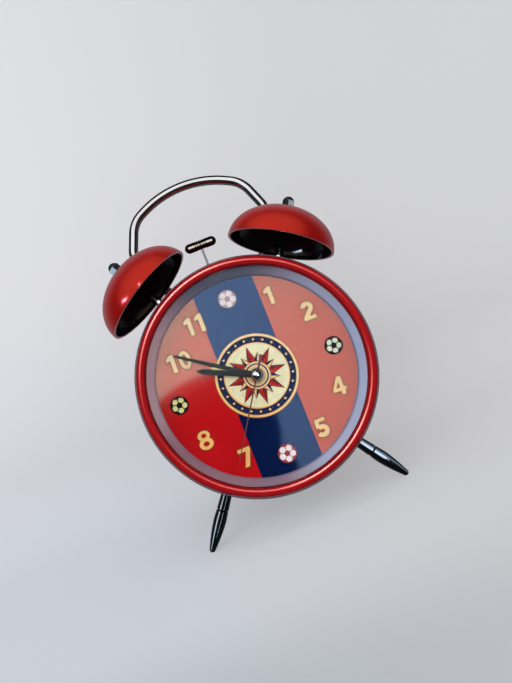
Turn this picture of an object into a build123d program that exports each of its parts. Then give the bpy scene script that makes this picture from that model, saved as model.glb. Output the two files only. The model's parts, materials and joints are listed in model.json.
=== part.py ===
from build123d import *
import math
import os

# Twin-bell alarm clock, in millimetres.
# The pieces are drawn square to the dial axis: X to the right, Y into the case, Z towards 12 o'clock,
# with Y = 0 at the crest of the bezel. At the end they are leaned back onto the floor.

# Stance
lean = 15.5

# Drum, a drawn steel shell
drum_radius = 53.5
drum_wall = 1.0
drum_front = 3.65
flange_overhang = 1.5
rear_lip = 2.5
tab_reach = 8.5
tab_width = 9.0
tab_thick = 1.2
hole_gap = 0.1
axial_gap = 0.15
running_gap = 0.05
cut_past = 2.0

# Bezel, lens and dial
bezel_overhang = 0.7
bezel_width = 4.8
bezel_roll = 2.0
lens_front = 2.6
lens_thick = 1.2
lens_rise = 2.0
lens_overlap = 1.95
surround_gap = 0.2
surround_wall = 0.8
surround_lead = 0.5
surround_root = 1.2
surround_inset = 3.0
dial_front = 10.5
dial_thick = 0.5
dial_overlap = 2.0

# Bells and their fixings
bell_angle = 31.6
bell_depth = 24.0
bell_stand = 11.8
bell_radius = 26.3
bell_height = 19.0
bell_wall = 1.2
post_radius = 2.0
post_collar = 3.2
post_collar_height = 2.5
stud_radius = 1.5
cap_nut_flats = 5.8
cap_nut_hex = 3.4
cap_nut_dome = 2.4
cap_nut_bevel = 0.1
nut_flats = 5.5
nut_thick = 2.2
stud_spare = 0.8

# Carrying handle, a bent tube behind the bells
handle_tube = 2.5
handle_bell_gap = 0.8
handle_angle = 24.2
handle_splay = 21.2
handle_knee_rise = 31.0
handle_rise = 58.2
handle_arch_radius = 52.5
handle_arch_slope = 27.0
handle_corner_bend = 16.0
handle_knee_bend = 9.0
handle_screw_head = 2.7
handle_screw_head_thick = 1.5
handle_screw_depth = 8.0
handle_screw_spare = 1.0

# Front feet
foot_angle = 35.6
foot_depth = 12.2
foot_root_radius = 2.4
foot_radius = 2.75
foot_belly_radius = 2.95
foot_sleeve = 9.0
foot_groove = 0.45
foot_belly_rise = 4.0
foot_bulge = 0.3
foot_tip_radius = 1.4
foot_flat_radius = 0.9

# Hammer and its drive
hammer_x = -2.3
hammer_stand = 16.6
hammer_length = 16.0
hammer_radius = 2.35
hammer_groove = 0.25
hammer_groove_width = 0.5
hammer_groove_pitch = 1.2
hammer_rod_radius = 0.5
hammer_pivot_rise = 18.0
hammer_pin_radius = 1.0
hammer_clip_thick = 0.85
hammer_pin_tail = 0.4
hammer_swing_left = 2.3
hammer_swing_right = 10.5
hammer_arm_thick = 1.2
arm_shoulder = 3.0
arm_edge = 0.5
sleeve_rise = 3.0
sleeve_wall = 0.8
sleeve_length = 6.0
fork_half_gap = 4.0
fork_prong = 2.0
fork_drop = 13.0
fork_bridge = 1.0
fork_crank_gap = 0.4
crank_drop = 8.0
crank_throw = 1.2
crank_pin_radius = 0.9
crank_pin_tail = 0.8
crank_disc_radius = 2.6
crank_disc_thick = 1.5
crank_disc_gap = 1.0
motor_radius = 6.0
motor_length = 15.0
motor_boss_thick = 1.0
motor_bore_end = 2.0
motor_shaft_end = 3.0
motor_shaft_radius = 0.75
bracket_step = 4.6
bracket_thick = 1.2
bracket_half_width = 14.0
bracket_flange = 7.0
bracket_hole_gap = 1.2
bracket_housing_gap = 1.0

# Movement housing
housing_side_gap = 2.375
housing_low_gap = 1.38
housing_wall = 1.2
housing_corner = 3.0
bridge_thick = 0.6
bushing_radius = 3.6
bushing_proud = 0.7
pivot_depth = 0.8
end_shake = 0.2

# Shafts and tubes on the dial axis
second_shaft_radius = 0.5
tube_wall = 0.65
arbor_radius = 0.5
setting_radius = 0.8

# Wheel train: centre distances, tooth counts and the steps in depth from mesh to mesh
setting_distance = 12.0
third_distance = 11.2
intermediate_distance = 8.4
rotor_distance = 8.4
wheel_thick = 0.8
pinion_overhang = 0.2
alarm_mesh_room = 1.2
hour_mesh_step = 1.8
cannon_mesh_step = 1.9
centre_mesh_step = 1.7
bridge_room = 1.0
third_mesh_room = 1.0
rotor_mesh_step = 1.6
second_mesh_step = 1.6
alarm_wheel_teeth = 36
alarm_pinion_teeth = 12
hour_wheel_teeth = 40
minute_pinion_teeth = 10
minute_wheel_teeth = 36
cannon_teeth = 12
centre_wheel_teeth = 60
third_pinion_teeth = 8
third_wheel_teeth = 64
second_pinion_teeth = 8
second_wheel_teeth = 40
intermediate_pinion_teeth = 8
intermediate_wheel_teeth = 48
rotor_pinion_teeth = 8
addendum = 0.85
dedendum = 1.2
root_half_share = 0.30
tip_half_share = 0.10

# Rotor, stator, coil and circuit board
magnet_radius = 3.0
magnet_step = 1.4
magnet_length = 3.0
rear_room = 1.4
stator_gap = 0.5
stator_step = 1.2
stator_thick = 1.0
stator_half_height = 4.0
stator_side_gap = 0.8
stator_right_margin = 1.3
coil_gap = 0.8
coil_radius = 2.4
coil_length = 12.0
coil_bore = 1.0
coil_flange = 0.8
coil_flange_rise = 0.3
core_height = 1.2
board_width = 8.0
board_height = 14.0
board_thick = 1.0
board_margin = 3.0
chip_inset = 2.0
chip_low = 4.0
chip_height = 4.0
chip_thick = 0.8

# Hands
hand_thick = 0.4
alarm_hand_gap = 1.0
hand_gap = 0.5
second_hand_gap = 0.4
alarm_hand_length = 21.5
hour_hand_length = 28.0
minute_tip_gap = 7.1
second_tip_gap = 6.4
second_hand_tail = 9.5
alarm_hand_width = 1.7
hour_hand_width = 2.5
minute_hand_width = 2.5
minute_tip_width = 1.1
second_hand_width = 0.8
second_tail_width = 1.28
second_tip_width = 0.4
hand_tip_slope = 1.2
hand_boss = 1.6
alarm_hand_angle = 300.0
hour_hand_angle = 294.8
minute_hand_angle = 304.0
second_hand_angle = 212.6
cap_radius = 3.1
cap_height = 2.2

# Back cover
cover_room = 19.0
cover_thick = 1.5
cover_recess = 9.5
cover_edge_gap = 0.2
cover_screw_inset = 7.5
cover_screw_angles = (55.0, 180.0, 305.0)
screw_radius = 1.25
screw_head = 2.5
screw_head_thick = 1.4
screw_slot_width = 0.7
screw_length = 6.0
boss_radius = 2.6
boss_side_inset = 5.0
boss_top_inset = 6.0
boss_bay_gap = 2.2

# Battery compartment
battery_radius = 7.15
battery_body = 49.2
battery_nub = 1.0
battery_nub_radius = 2.7
bay_side_gap = 0.85
bay_wall = 1.2
bay_floor_gap = 0.25
bay_edge_gap = 3.27
contact_room = 3.9
contact_thick = 0.5
contact_height = 10.0
contact_width = 6.0
contact_root_half = 2.5
contact_tip_half = 0.8
door_gap = 0.3
door_thick = 1.2
door_pin_radius = 0.6
door_pin_reach = 0.8
grip_count = 3
grip_length = 10.0
grip_proud = 0.5
grip_width = 0.8
grip_pitch = 1.6
grip_inset = 1.5

# Knobs, alarm switch and sound slots
knob_radius = 6.5
knob_gap = 0.7
knob_length = 6.4
knob_flutes = 18
knob_flute_radius = 0.7
stem_radius = 1.5
stem_gap = 0.06
stem_housing_gap = 0.6
stem_socket = 9.4
switch_angle = 46.2
switch_inset = 16.15
switch_travel = 4.0
switch_stem_width = 3.0
switch_stem_height = 2.4
switch_cap_width = 5.5
switch_cap_height = 4.2
switch_cap_thick = 2.2
switch_groove_pitch = 1.5
switch_groove_width = 0.6
switch_groove_depth = 0.5
switch_foot_margin = 1.0
switch_foot_thick = 1.4
switch_tray_wall = 1.0
switch_tray_floor = 3.0
switch_clear = 0.25
sound_slot_count = 5
sound_slot_length = 14.0
sound_slot_width = 1.6
sound_slot_pitch = 3.4
sound_slot_angle = 320.2
sound_slot_inset = 11.75


# Radii and heights from the dial axis that follow from the drum

drum_inner = drum_radius - drum_wall
flange_radius = drum_radius + flange_overhang
cover_radius = drum_radius - rear_lip - cover_edge_gap
cover_screw_circle = drum_radius - cover_screw_inset
bezel_outer = drum_radius + bezel_overhang
bezel_inner = bezel_outer - bezel_width
dial_window = bezel_inner - surround_inset
minute_hand_length = dial_window - minute_tip_gap
second_hand_length = dial_window - second_tip_gap
bell_mouth = drum_radius + bell_stand
bell_top = bell_mouth + bell_height
hammer_z = drum_radius + hammer_stand
handle_knee_z = drum_radius + handle_knee_rise
handle_top = drum_radius + handle_rise

# Depths, from the dial forwards for the hands and backwards to the back of the drum

alarm_hand_front = dial_front - alarm_hand_gap - hand_thick
hour_hand_front = alarm_hand_front - hand_gap - hand_thick
minute_hand_front = hour_hand_front - hand_gap - hand_thick
second_hand_front = minute_hand_front - second_hand_gap - hand_thick
bushing_front = dial_front - bushing_proud
housing_front = dial_front + dial_thick
inner_front = housing_front + housing_wall
alarm_mesh = inner_front + alarm_mesh_room
hour_mesh = alarm_mesh + hour_mesh_step
cannon_mesh = hour_mesh + cannon_mesh_step
centre_mesh = cannon_mesh + centre_mesh_step
bridge_front = centre_mesh + bridge_room
bridge_back = bridge_front + bridge_thick
third_mesh = bridge_back + third_mesh_room
rotor_mesh = third_mesh + rotor_mesh_step
second_mesh = rotor_mesh + second_mesh_step
magnet_front = rotor_mesh + magnet_step
stator_front = magnet_front + stator_step
inner_back = magnet_front + magnet_length + rear_room
housing_back = inner_back + housing_wall
cover_front = housing_back + cover_room
cover_back = cover_front + cover_thick
drum_back = cover_back + cover_recess
handle_depth = bell_depth + bell_radius + handle_bell_gap + handle_tube


# Where the movement lies across the dial, worked out from its wheels

def tip_radius(distance, teeth, partner_teeth):
    """Radius over the teeth of a wheel that meshes at a centre distance."""
    return 2 * distance / (teeth + partner_teeth) * (teeth / 2 + addendum)


rotor_x = -rotor_distance
rotor_z = intermediate_distance
minute_wheel_reach = setting_distance + tip_radius(setting_distance, minute_wheel_teeth, cannon_teeth)
third_wheel_reach = third_distance + tip_radius(third_distance, third_wheel_teeth, second_pinion_teeth)
housing_half_width = minute_wheel_reach + housing_side_gap + housing_wall
housing_bottom = -third_wheel_reach - housing_low_gap - housing_wall
coil_z = rotor_z + stator_half_height + coil_gap + coil_radius
housing_top = coil_z + coil_radius + coil_gap + housing_wall
stator_left = housing_wall + stator_side_gap - housing_half_width
stator_leg = coil_bore + coil_flange
coil_left = stator_left + stator_leg + 2 * hole_gap
coil_right = coil_left + coil_length
hammer_pivot_z = housing_top + hammer_pivot_rise


# Basic shapes

def turned(points):
    """Solid turned about the dial axis from (radius, depth) corners."""
    return revolve(make_face(Polyline(*points, close=True)), Axis.Y)


def disc(outer, front, back, inner=0):
    """Disc or ring about the dial axis."""
    return turned([(inner, front), (outer, front), (outer, back), (inner, back)])


def slab(face, front, back):
    """Flat plate from a face drawn in x and z, between two depths."""
    return Pos(0, back, 0) * Rot(90, 0, 0) * extrude(face, back - front, dir=(0, 0, 1))


def shaft(radius, front, back, x=0, z=0):
    """Round rod along the depth."""
    return slab(Pos(x, z) * Circle(radius), front, back)


def block(x_low, x_high, front, back, z_low, z_high):
    """Box between two corners."""
    low = (x_low, front, z_low)
    return Pos(*low) * Box(x_high - x_low, back - front, z_high - z_low, align=Align.MIN)


def rod(radius, start, end):
    """Round rod along Z."""
    return Pos(0, 0, start) * Cylinder(radius, end - start, align=(Align.CENTER, Align.CENTER, Align.MIN))


def turned_rod(points):
    """Solid turned about Z from (radius, height) corners."""
    return revolve(Plane.XZ * make_face(Polyline(*points, close=True)), Axis.Z)


def hexagon(flats, start, end):
    """Hexagonal prism along Z."""
    prism = extrude(RegularPolygon(flats / 2, 6, major_radius=False), end - start, dir=(0, 0, 1))
    return Pos(0, 0, start) * prism


def at_clock(shape, angle, depth=0):
    """Turn a shape that points along Z to an angle clockwise from 12, at a depth."""
    return Pos(0, depth, 0) * Rot(0, angle, 0) * shape


def mirrored(shape):
    """The same shape on the other side of the clock."""
    return mirror(shape, Plane.YZ)


# Case and front

stud_hole = stud_radius + hole_gap
slot_lever = drum_radius - hammer_pivot_z


def drum_tab(angle):
    """Welded tab that takes one back-cover screw."""
    reach = Pos(0, 0, drum_inner + drum_wall / 2) * Box(
        tab_width, tab_thick, tab_reach + drum_wall / 2, align=(Align.CENTER, Align.MAX, Align.MAX))
    tab = at_clock(reach, angle, cover_front)
    hole = at_clock(Pos(0, 0, cover_screw_circle) * Rot(90, 0, 0) * Cylinder(screw_radius, 4 * tab_thick),
                    angle, cover_front)
    return tab - hole


def hammer_slot():
    """Slot in the top of the drum for the swinging hammer rod."""
    margin = hammer_rod_radius + 3 * axial_gap
    left = hammer_x - slot_lever * math.tan(math.radians(hammer_swing_left)) - margin
    right = hammer_x + slot_lever * math.tan(math.radians(hammer_swing_right)) + margin
    return block(left, right, bell_depth - margin, bell_depth + margin,
                 drum_inner - cut_past, drum_radius + cut_past)


def case_drum():
    lip_inner = drum_radius - rear_lip
    shell = turned([
        (drum_inner, drum_front), (flange_radius, drum_front),
        (flange_radius, drum_front + drum_wall), (drum_radius, drum_front + drum_wall),
        (drum_radius, drum_back), (lip_inner, drum_back),
        (lip_inner, drum_back - drum_wall), (drum_inner, drum_back - drum_wall)])
    for angle in cover_screw_angles:
        shell += drum_tab(angle)
    for side in (-1, 1):
        drill = rod(stud_hole, drum_inner - cut_past, drum_radius + cut_past)
        shell -= at_clock(drill, side * bell_angle, bell_depth)
        shell -= at_clock(drill, 180 + side * foot_angle, foot_depth)
        shell -= at_clock(drill, side * handle_angle, handle_depth)
    return shell - hammer_slot()


def front_bezel():
    """Rolled ring, with a rebate behind for the lens."""
    crest = (bezel_inner + bezel_outer) / 2
    rebate = bezel_inner + lens_overlap + running_gap
    outline = ThreePointArc((bezel_inner, bezel_roll), (crest, 0), (bezel_outer, bezel_roll))
    outline += Polyline(
        (bezel_outer, bezel_roll), (bezel_outer, drum_front), (rebate, drum_front),
        (rebate, lens_front), (bezel_inner, lens_front), (bezel_inner, bezel_roll))
    return revolve(make_face(outline), Axis.Y)


def dome_arc(edge, rise, radius):
    """Arc in (radius, depth) from the axis to an edge, bulging to the front."""
    sphere = (radius ** 2 + rise ** 2) / (2 * rise)
    half = radius / 2
    sag = sphere - math.sqrt(sphere ** 2 - half ** 2)
    return ThreePointArc((0, edge - rise), (half, edge - rise + sag), (radius, edge))


def lens():
    """Slightly domed glass with a flat rim."""
    rim = bezel_inner + lens_overlap
    back = lens_front + lens_thick
    outline = dome_arc(lens_front, lens_rise, bezel_inner)
    outline += Polyline((bezel_inner, lens_front), (rim, lens_front), (rim, back), (bezel_inner, back))
    outline += dome_arc(back, lens_rise, bezel_inner)
    outline += Line((0, back - lens_rise), (0, lens_front - lens_rise))
    return revolve(make_face(outline), Axis.Y)


def dial_surround():
    """Cone that carries the rim of the lens and frames the dial."""
    seat = lens_front + lens_thick
    top = bezel_inner + surround_lead
    foot = dial_window + dial_overlap
    flange = drum_inner - surround_gap
    return turned([
        (top, seat), (flange, seat), (flange, seat + surround_wall),
        (top + surround_wall, seat + surround_wall),
        (dial_window + surround_root, dial_front - surround_wall),
        (foot, dial_front - surround_wall), (foot, dial_front), (dial_window, dial_front)])


def dial_plate():
    return disc(dial_window + dial_overlap, dial_front, dial_front + dial_thick, bushing_radius + hole_gap)


# Bells

def bell_outline(radius, height):
    """Quarter ellipse from the mouth of a bell to its crown, in (radius, height)."""
    return Pos(0, bell_mouth) * EllipticalCenterArc((0, 0), radius, height, start_angle=0, arc_size=90)


def crown_arc(radius, rise, base):
    """Round arc from the edge of a dome up to its crown, in (radius, height)."""
    sphere = (radius ** 2 + rise ** 2) / (2 * rise)
    middle = math.asin(radius / sphere) / 2
    halfway = (sphere * math.sin(middle), base + rise - sphere * (1 - math.cos(middle)))
    return ThreePointArc((radius, base), halfway, (0, base + rise))


def bell():
    outer = bell_outline(bell_radius, bell_height)
    inner = bell_outline(bell_radius - bell_wall, bell_height - bell_wall)
    outline = outer + Line((0, bell_top), (0, bell_top - bell_wall)) + inner
    outline += Line((bell_radius - bell_wall, bell_mouth), (bell_radius, bell_mouth))
    shell = revolve(Plane.XZ * make_face(outline), Axis.Z)
    return shell - rod(stud_hole, bell_mouth, bell_top + cut_past)


def bell_post():
    """Post with a collar on the drum, a shoulder under the crown and a stud at each end."""
    shoulder = bell_top - bell_wall - hole_gap
    post = rod(post_radius, drum_radius, shoulder)
    post += rod(post_collar, drum_radius, drum_radius + post_collar_height)
    post += rod(stud_radius, drum_inner - nut_thick - stud_spare, bell_top + cap_nut_hex)
    return post


def cap_nut():
    """Hexagonal nut with a domed top and an edge towards the front."""
    shoulder = bell_top + cap_nut_hex
    edge = cap_nut_flats / 2 - cap_nut_bevel
    outline = crown_arc(edge, cap_nut_dome, shoulder)
    outline += Polyline((0, shoulder + cap_nut_dome), (0, shoulder), (edge, shoulder))
    dome = revolve(Plane.XZ * make_face(outline), Axis.Z)
    body = Rot(0, 0, 30) * hexagon(cap_nut_flats, bell_top, shoulder)
    return body + dome - rod(stud_radius, bell_top, shoulder)


def inside_nut():
    """Nut under the drum wall on a stud that points outwards."""
    top = drum_inner - hole_gap
    return hexagon(nut_flats, top - nut_thick, top) - rod(stud_radius, top - nut_thick, top)


# Handle

def handle_path():
    """Bent centre line from one side of the drum over the bells to the other."""
    splay = math.tan(math.radians(handle_splay))
    slope = math.tan(math.radians(handle_arch_slope))
    knee_x = handle_knee_z * math.tan(math.radians(handle_angle))
    arch_centre = handle_top - handle_arch_radius
    apex = arch_centre + handle_arch_radius / math.cos(math.radians(handle_arch_slope))
    corner_x = (knee_x - splay * (apex - handle_knee_z)) / (1 - splay * slope)
    corner_z = apex - slope * corner_x
    root = Vector(0, drum_radius).rotate(Axis.Z, -handle_angle)
    points = [(root.X, root.Y), (knee_x, handle_knee_z), (corner_x, corner_z), (0, apex)]
    points += [(-x, z) for x, z in reversed(points[:-1])]
    bends = [handle_knee_bend, handle_corner_bend, handle_arch_radius, handle_corner_bend, handle_knee_bend]
    return FilletPolyline(*points, radius=bends)


def handle():
    path = Pos(0, handle_depth, 0) * Rot(90, 0, 0) * handle_path()
    start = Plane(origin=path @ 0, z_dir=path % 0)
    tube = sweep(start * Circle(handle_tube), path=path)
    for side in (-1, 1):
        socket = rod(stud_radius + running_gap, drum_inner, drum_radius + handle_screw_depth)
        tube -= at_clock(socket, side * handle_angle, handle_depth)
    return tube


def handle_screw():
    seat = math.sqrt(drum_inner ** 2 - handle_screw_head ** 2) - running_gap
    screw = rod(handle_screw_head, seat - handle_screw_head_thick, seat)
    return screw + rod(stud_radius, seat, drum_radius + handle_screw_depth - handle_screw_spare)


# Feet

sin_lean = math.sin(math.radians(lean))
cos_lean = math.cos(math.radians(lean))
floor_drop = drum_back * sin_lean + drum_radius * cos_lean
foot_flat_height = math.sqrt(foot_tip_radius ** 2 - foot_flat_radius ** 2)
foot_reach = floor_drop - foot_depth * sin_lean - foot_flat_height
foot_tip_centre = foot_reach / (math.cos(math.radians(foot_angle)) * cos_lean)


def foot():
    """Turned foot along Z: a widening sleeve, a groove, a belly and a rounded taper to the tip."""
    sleeve = drum_radius + foot_sleeve
    collar = sleeve + 2 * foot_groove
    belly = collar + foot_belly_rise
    halfway = ((foot_belly_radius + foot_tip_radius) / 2 + foot_bulge, (belly + foot_tip_centre) / 2)
    outline = Polyline(
        (0, foot_tip_centre), (0, drum_radius), (foot_root_radius, drum_radius), (foot_radius, sleeve),
        (foot_radius - foot_groove, sleeve + foot_groove / 2), (foot_radius, collar),
        (foot_belly_radius, belly))
    outline += ThreePointArc((foot_belly_radius, belly), halfway, (foot_tip_radius, foot_tip_centre))
    outline += Line((foot_tip_radius, foot_tip_centre), (0, foot_tip_centre))
    leg = revolve(Plane.XZ * make_face(outline), Axis.Z)
    leg += Pos(0, 0, foot_tip_centre) * Sphere(foot_tip_radius)
    return leg + rod(stud_radius, drum_inner - nut_thick - stud_spare, drum_radius)


def placed_foot(side):
    """Foot on the drum, with its tip cut level with the floor."""
    leg = at_clock(foot(), 180 + side * foot_angle, foot_depth)
    wide = 4 * floor_drop
    below = Box(wide, wide, floor_drop, align=(Align.CENTER, Align.CENTER, Align.MAX))
    return leg - Rot(lean, 0, 0) * Pos(0, 0, -floor_drop) * below


# Hammer and its drive

arm_front = bell_depth - hammer_arm_thick / 2
arm_back = bell_depth + hammer_arm_thick / 2
crank_z = hammer_pivot_z - crank_drop
sleeve_foot = hammer_pivot_z + sleeve_rise
sleeve_end = sleeve_foot + sleeve_length
bracket_front = bell_depth + bracket_step
bracket_back = bracket_front + bracket_thick
motor_back = bracket_back + motor_length


def hammer_head():
    """Round-ended striker across the rod, with four grooves at its middle."""
    straight = hammer_length / 2 - hammer_radius
    head = rod(hammer_radius, -straight, straight)
    for side in (-1, 1):
        head += Pos(0, 0, side * straight) * Sphere(hammer_radius)
        for place in (0.5, 1.5):
            start = side * place * hammer_groove_pitch - hammer_groove_width / 2
            ring = rod(2 * hammer_radius, start, start + hammer_groove_width)
            head -= ring - rod(hammer_radius - hammer_groove, start, start + hammer_groove_width)
    head = Pos(hammer_x, bell_depth, hammer_z) * Rot(0, 90, 0) * head
    socket = rod(hammer_rod_radius, hammer_z - 2 * hammer_radius, hammer_z)
    return head - Pos(hammer_x, bell_depth, 0) * socket


def hammer_rod():
    return Pos(hammer_x, bell_depth, 0) * rod(hammer_rod_radius, sleeve_foot, hammer_z)


def hammer_arm():
    """Stamped arm: fork below, pivot hole in the middle and a crimped sleeve for the rod."""
    outside = fork_half_gap + fork_prong
    low = hammer_pivot_z - fork_drop
    fork_top = hammer_pivot_z - crank_drop / 2 + fork_crank_gap
    bridge_top = fork_top + fork_bridge
    arm_top = sleeve_foot + arm_edge
    points = [
        (-outside, low), (-fork_half_gap, low), (-fork_half_gap, fork_top), (fork_half_gap, fork_top),
        (fork_half_gap, low), (outside, low), (outside, bridge_top), (arm_shoulder, arm_top),
        (-arm_shoulder, arm_top), (-outside, bridge_top)]
    plate = slab(Pos(hammer_x, 0) * make_face(Polyline(*points, close=True)), arm_front, arm_back)
    plate -= shaft(hammer_pin_radius + running_gap, arm_front, arm_back, hammer_x, hammer_pivot_z)
    sleeve = rod(hammer_rod_radius + sleeve_wall, sleeve_foot, sleeve_end)
    bore = rod(hammer_rod_radius, sleeve_foot, sleeve_end)
    line = Pos(hammer_x, bell_depth, 0)
    return plate + line * sleeve - line * bore


def hammer_pin():
    """Pivot pin riveted in the bracket, with a spacer behind the arm and a clip in front."""
    x, z = hammer_x, hammer_pivot_z
    clip_back = arm_front - axial_gap
    clip_front = clip_back - hammer_clip_thick
    pin = shaft(hammer_pin_radius, clip_front - hammer_pin_tail, bracket_back, x, z)
    pin += shaft(2 * hammer_pin_radius, arm_back + axial_gap, bracket_front, x, z)
    return pin + shaft(2 * hammer_pin_radius, clip_front, clip_back, x, z)


def hammer_bracket():
    """Plate across the drum with a flange that is spot-welded to the drum's top."""
    rim = drum_inner - hole_gap
    low = housing_top + bracket_housing_gap
    wide = Pos(hammer_x, low) * Rectangle(2 * bracket_half_width, rim, align=(Align.CENTER, Align.MIN))
    plate = slab(wide & Circle(rim), bracket_front, bracket_back)
    flange = disc(rim, bracket_front, bracket_back + bracket_flange, rim - bracket_thick)
    flange &= slab(wide, bracket_front, bracket_back + bracket_flange)
    hole = shaft(motor_shaft_radius + bracket_hole_gap, bracket_front, bracket_back, hammer_x, crank_z)
    rivet = shaft(hammer_pin_radius, bracket_front, bracket_back, hammer_x, hammer_pivot_z)
    return plate + flange - hole - rivet


def hammer_motor():
    """Small can motor on the back of the bracket."""
    can = shaft(motor_radius, bracket_back, motor_back, hammer_x, crank_z)
    can += shaft(motor_radius / 3, motor_back, motor_back + motor_boss_thick, hammer_x, crank_z)
    gap = motor_shaft_radius + running_gap
    return can - shaft(gap, bracket_back, motor_back - motor_bore_end, hammer_x, crank_z)


def motor_crank():
    """Motor shaft with a disc and an off-centre pin inside the arm's fork."""
    disc_back = bracket_front - crank_disc_gap
    disc_front = disc_back - crank_disc_thick
    crank = shaft(motor_shaft_radius, disc_front, motor_back - motor_shaft_end, hammer_x, crank_z)
    crank += shaft(crank_disc_radius, disc_front, disc_back, hammer_x, crank_z)
    pin_z = crank_z - crank_throw
    return crank + shaft(crank_pin_radius, arm_front - crank_pin_tail, disc_front, hammer_x, pin_z)


# Wheel train

def gear_face(teeth, module, first_tooth):
    """Toothed outline, with one tooth centred at an angle from X towards Z."""
    pitch = module * teeth / 2
    root = pitch - dedendum * module
    tip = pitch + addendum * module
    root_half = math.degrees(root_half_share * math.pi * module / root)
    tip_half = math.degrees(tip_half_share * math.pi * module / tip)
    points = []
    for i in range(teeth):
        middle = first_tooth + i * 360 / teeth
        for radius, offset in ((root, -root_half), (tip, -tip_half), (tip, tip_half), (root, root_half)):
            angle = math.radians(middle + offset)
            points.append((radius * math.cos(angle), radius * math.sin(angle)))
    return make_face(Polyline(*points, close=True))


def wheel(teeth, module, mesh, towards, x=0, z=0):
    """Wheel with a tooth pointing along the line to its partner."""
    face = Pos(x, z) * gear_face(teeth, module, towards)
    return slab(face, mesh - wheel_thick / 2, mesh + wheel_thick / 2)


def pinion(teeth, module, mesh, towards, x=0, z=0):
    """Pinion, a little wider than its wheel, with a gap along the line to its partner."""
    half = wheel_thick / 2 + pinion_overhang
    face = Pos(x, z) * gear_face(teeth, module, towards + 180 / teeth)
    return slab(face, mesh - half, mesh + half)


def module_for(distance, teeth_a, teeth_b):
    return 2 * distance / (teeth_a + teeth_b)


alarm_module = module_for(setting_distance, alarm_wheel_teeth, alarm_pinion_teeth)
hour_module = module_for(setting_distance, hour_wheel_teeth, minute_pinion_teeth)
cannon_module = module_for(setting_distance, cannon_teeth, minute_wheel_teeth)
centre_module = module_for(third_distance, centre_wheel_teeth, third_pinion_teeth)
third_module = module_for(third_distance, third_wheel_teeth, second_pinion_teeth)
second_module = module_for(intermediate_distance, second_wheel_teeth, intermediate_pinion_teeth)
rotor_module = module_for(rotor_distance, intermediate_wheel_teeth, rotor_pinion_teeth)

minute_bore = second_shaft_radius + running_gap
minute_tube = minute_bore + tube_wall
hour_bore = minute_tube + running_gap
hour_tube = hour_bore + tube_wall
alarm_bore = hour_tube + running_gap
alarm_tube = alarm_bore + tube_wall
bushing_bore = alarm_tube + running_gap

arbor_front = inner_front - pivot_depth + end_shake
arbor_back = inner_back + pivot_depth - end_shake
bridge_end = bridge_front + end_shake
half_wheel = wheel_thick / 2


def alarm_wheel():
    part = wheel(alarm_wheel_teeth, alarm_module, alarm_mesh, 180)
    part += shaft(alarm_tube, alarm_hand_front, alarm_mesh + half_wheel)
    return part - shaft(alarm_bore, alarm_hand_front, alarm_mesh + half_wheel)


def hour_wheel():
    part = wheel(hour_wheel_teeth, hour_module, hour_mesh, 0)
    part += shaft(hour_tube, hour_hand_front, hour_mesh + half_wheel)
    return part - shaft(hour_bore, hour_hand_front, hour_mesh + half_wheel)


def minute_arbor():
    """Tube with the cannon pinion and the centre wheel."""
    part = wheel(centre_wheel_teeth, centre_module, centre_mesh, 270)
    part += wheel(cannon_teeth, cannon_module, cannon_mesh, 0)
    part += shaft(minute_tube, minute_hand_front, centre_mesh + half_wheel)
    return part - shaft(minute_bore, minute_hand_front, centre_mesh + half_wheel)


def second_arbor():
    part = shaft(second_shaft_radius, second_hand_front, arbor_back)
    part += wheel(second_pinion_teeth, third_module, third_mesh, 270)
    return part + wheel(second_wheel_teeth, second_module, second_mesh, 90)


def minute_wheel():
    """Wheel and pinion on the arbor that the time knob turns."""
    x = setting_distance
    part = shaft(setting_radius, arbor_front, stem_front + stem_socket, x)
    part += pinion(minute_wheel_teeth, cannon_module, cannon_mesh, 180, x)
    return part + pinion(minute_pinion_teeth, hour_module, hour_mesh, 180, x)


def alarm_pinion():
    """Pinion on the arbor that the alarm knob turns."""
    x = -setting_distance
    part = shaft(setting_radius, arbor_front, stem_front + stem_socket, x)
    return part + pinion(alarm_pinion_teeth, alarm_module, alarm_mesh, 0, x)


def third_wheel():
    z = -third_distance
    part = shaft(arbor_radius, arbor_front, arbor_back, 0, z)
    part += pinion(third_pinion_teeth, centre_module, centre_mesh, 90, 0, z)
    return part + pinion(third_wheel_teeth, third_module, third_mesh, 90, 0, z)


def intermediate_wheel():
    z = intermediate_distance
    part = shaft(arbor_radius, bridge_end, arbor_back, 0, z)
    part += pinion(intermediate_pinion_teeth, second_module, second_mesh, 270, 0, z)
    return part + wheel(intermediate_wheel_teeth, rotor_module, rotor_mesh, 180, 0, z)


def rotor():
    part = shaft(arbor_radius, bridge_end, arbor_back, rotor_x, rotor_z)
    part += shaft(magnet_radius, magnet_front, magnet_front + magnet_length, rotor_x, rotor_z)
    return part + pinion(rotor_pinion_teeth, rotor_module, rotor_mesh, 0, rotor_x, rotor_z)


# Movement housing and its fixed pieces

housing_height = housing_top - housing_bottom
housing_mid = (housing_top + housing_bottom) / 2


def housing_face(inset=0):
    width = 2 * (housing_half_width - inset)
    height = housing_height - 2 * inset
    return Pos(0, housing_mid) * RectangleRounded(width, height, housing_corner - inset / 2)


def setting_holes(front, back):
    gap = setting_radius + running_gap
    return shaft(gap, front, back, setting_distance) + shaft(gap, front, back, -setting_distance)


def movement_front():
    tray = slab(housing_face(), housing_front, bridge_front)
    tray -= slab(housing_face(housing_wall), inner_front, bridge_front)
    tray += shaft(bushing_radius, bushing_front, inner_front)
    tray -= shaft(bushing_bore, bushing_front, inner_front)
    pivots = setting_holes(inner_front - pivot_depth, inner_front)
    pivots += shaft(arbor_radius + running_gap, inner_front - pivot_depth, inner_front, 0, -third_distance)
    return tray - pivots


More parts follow.
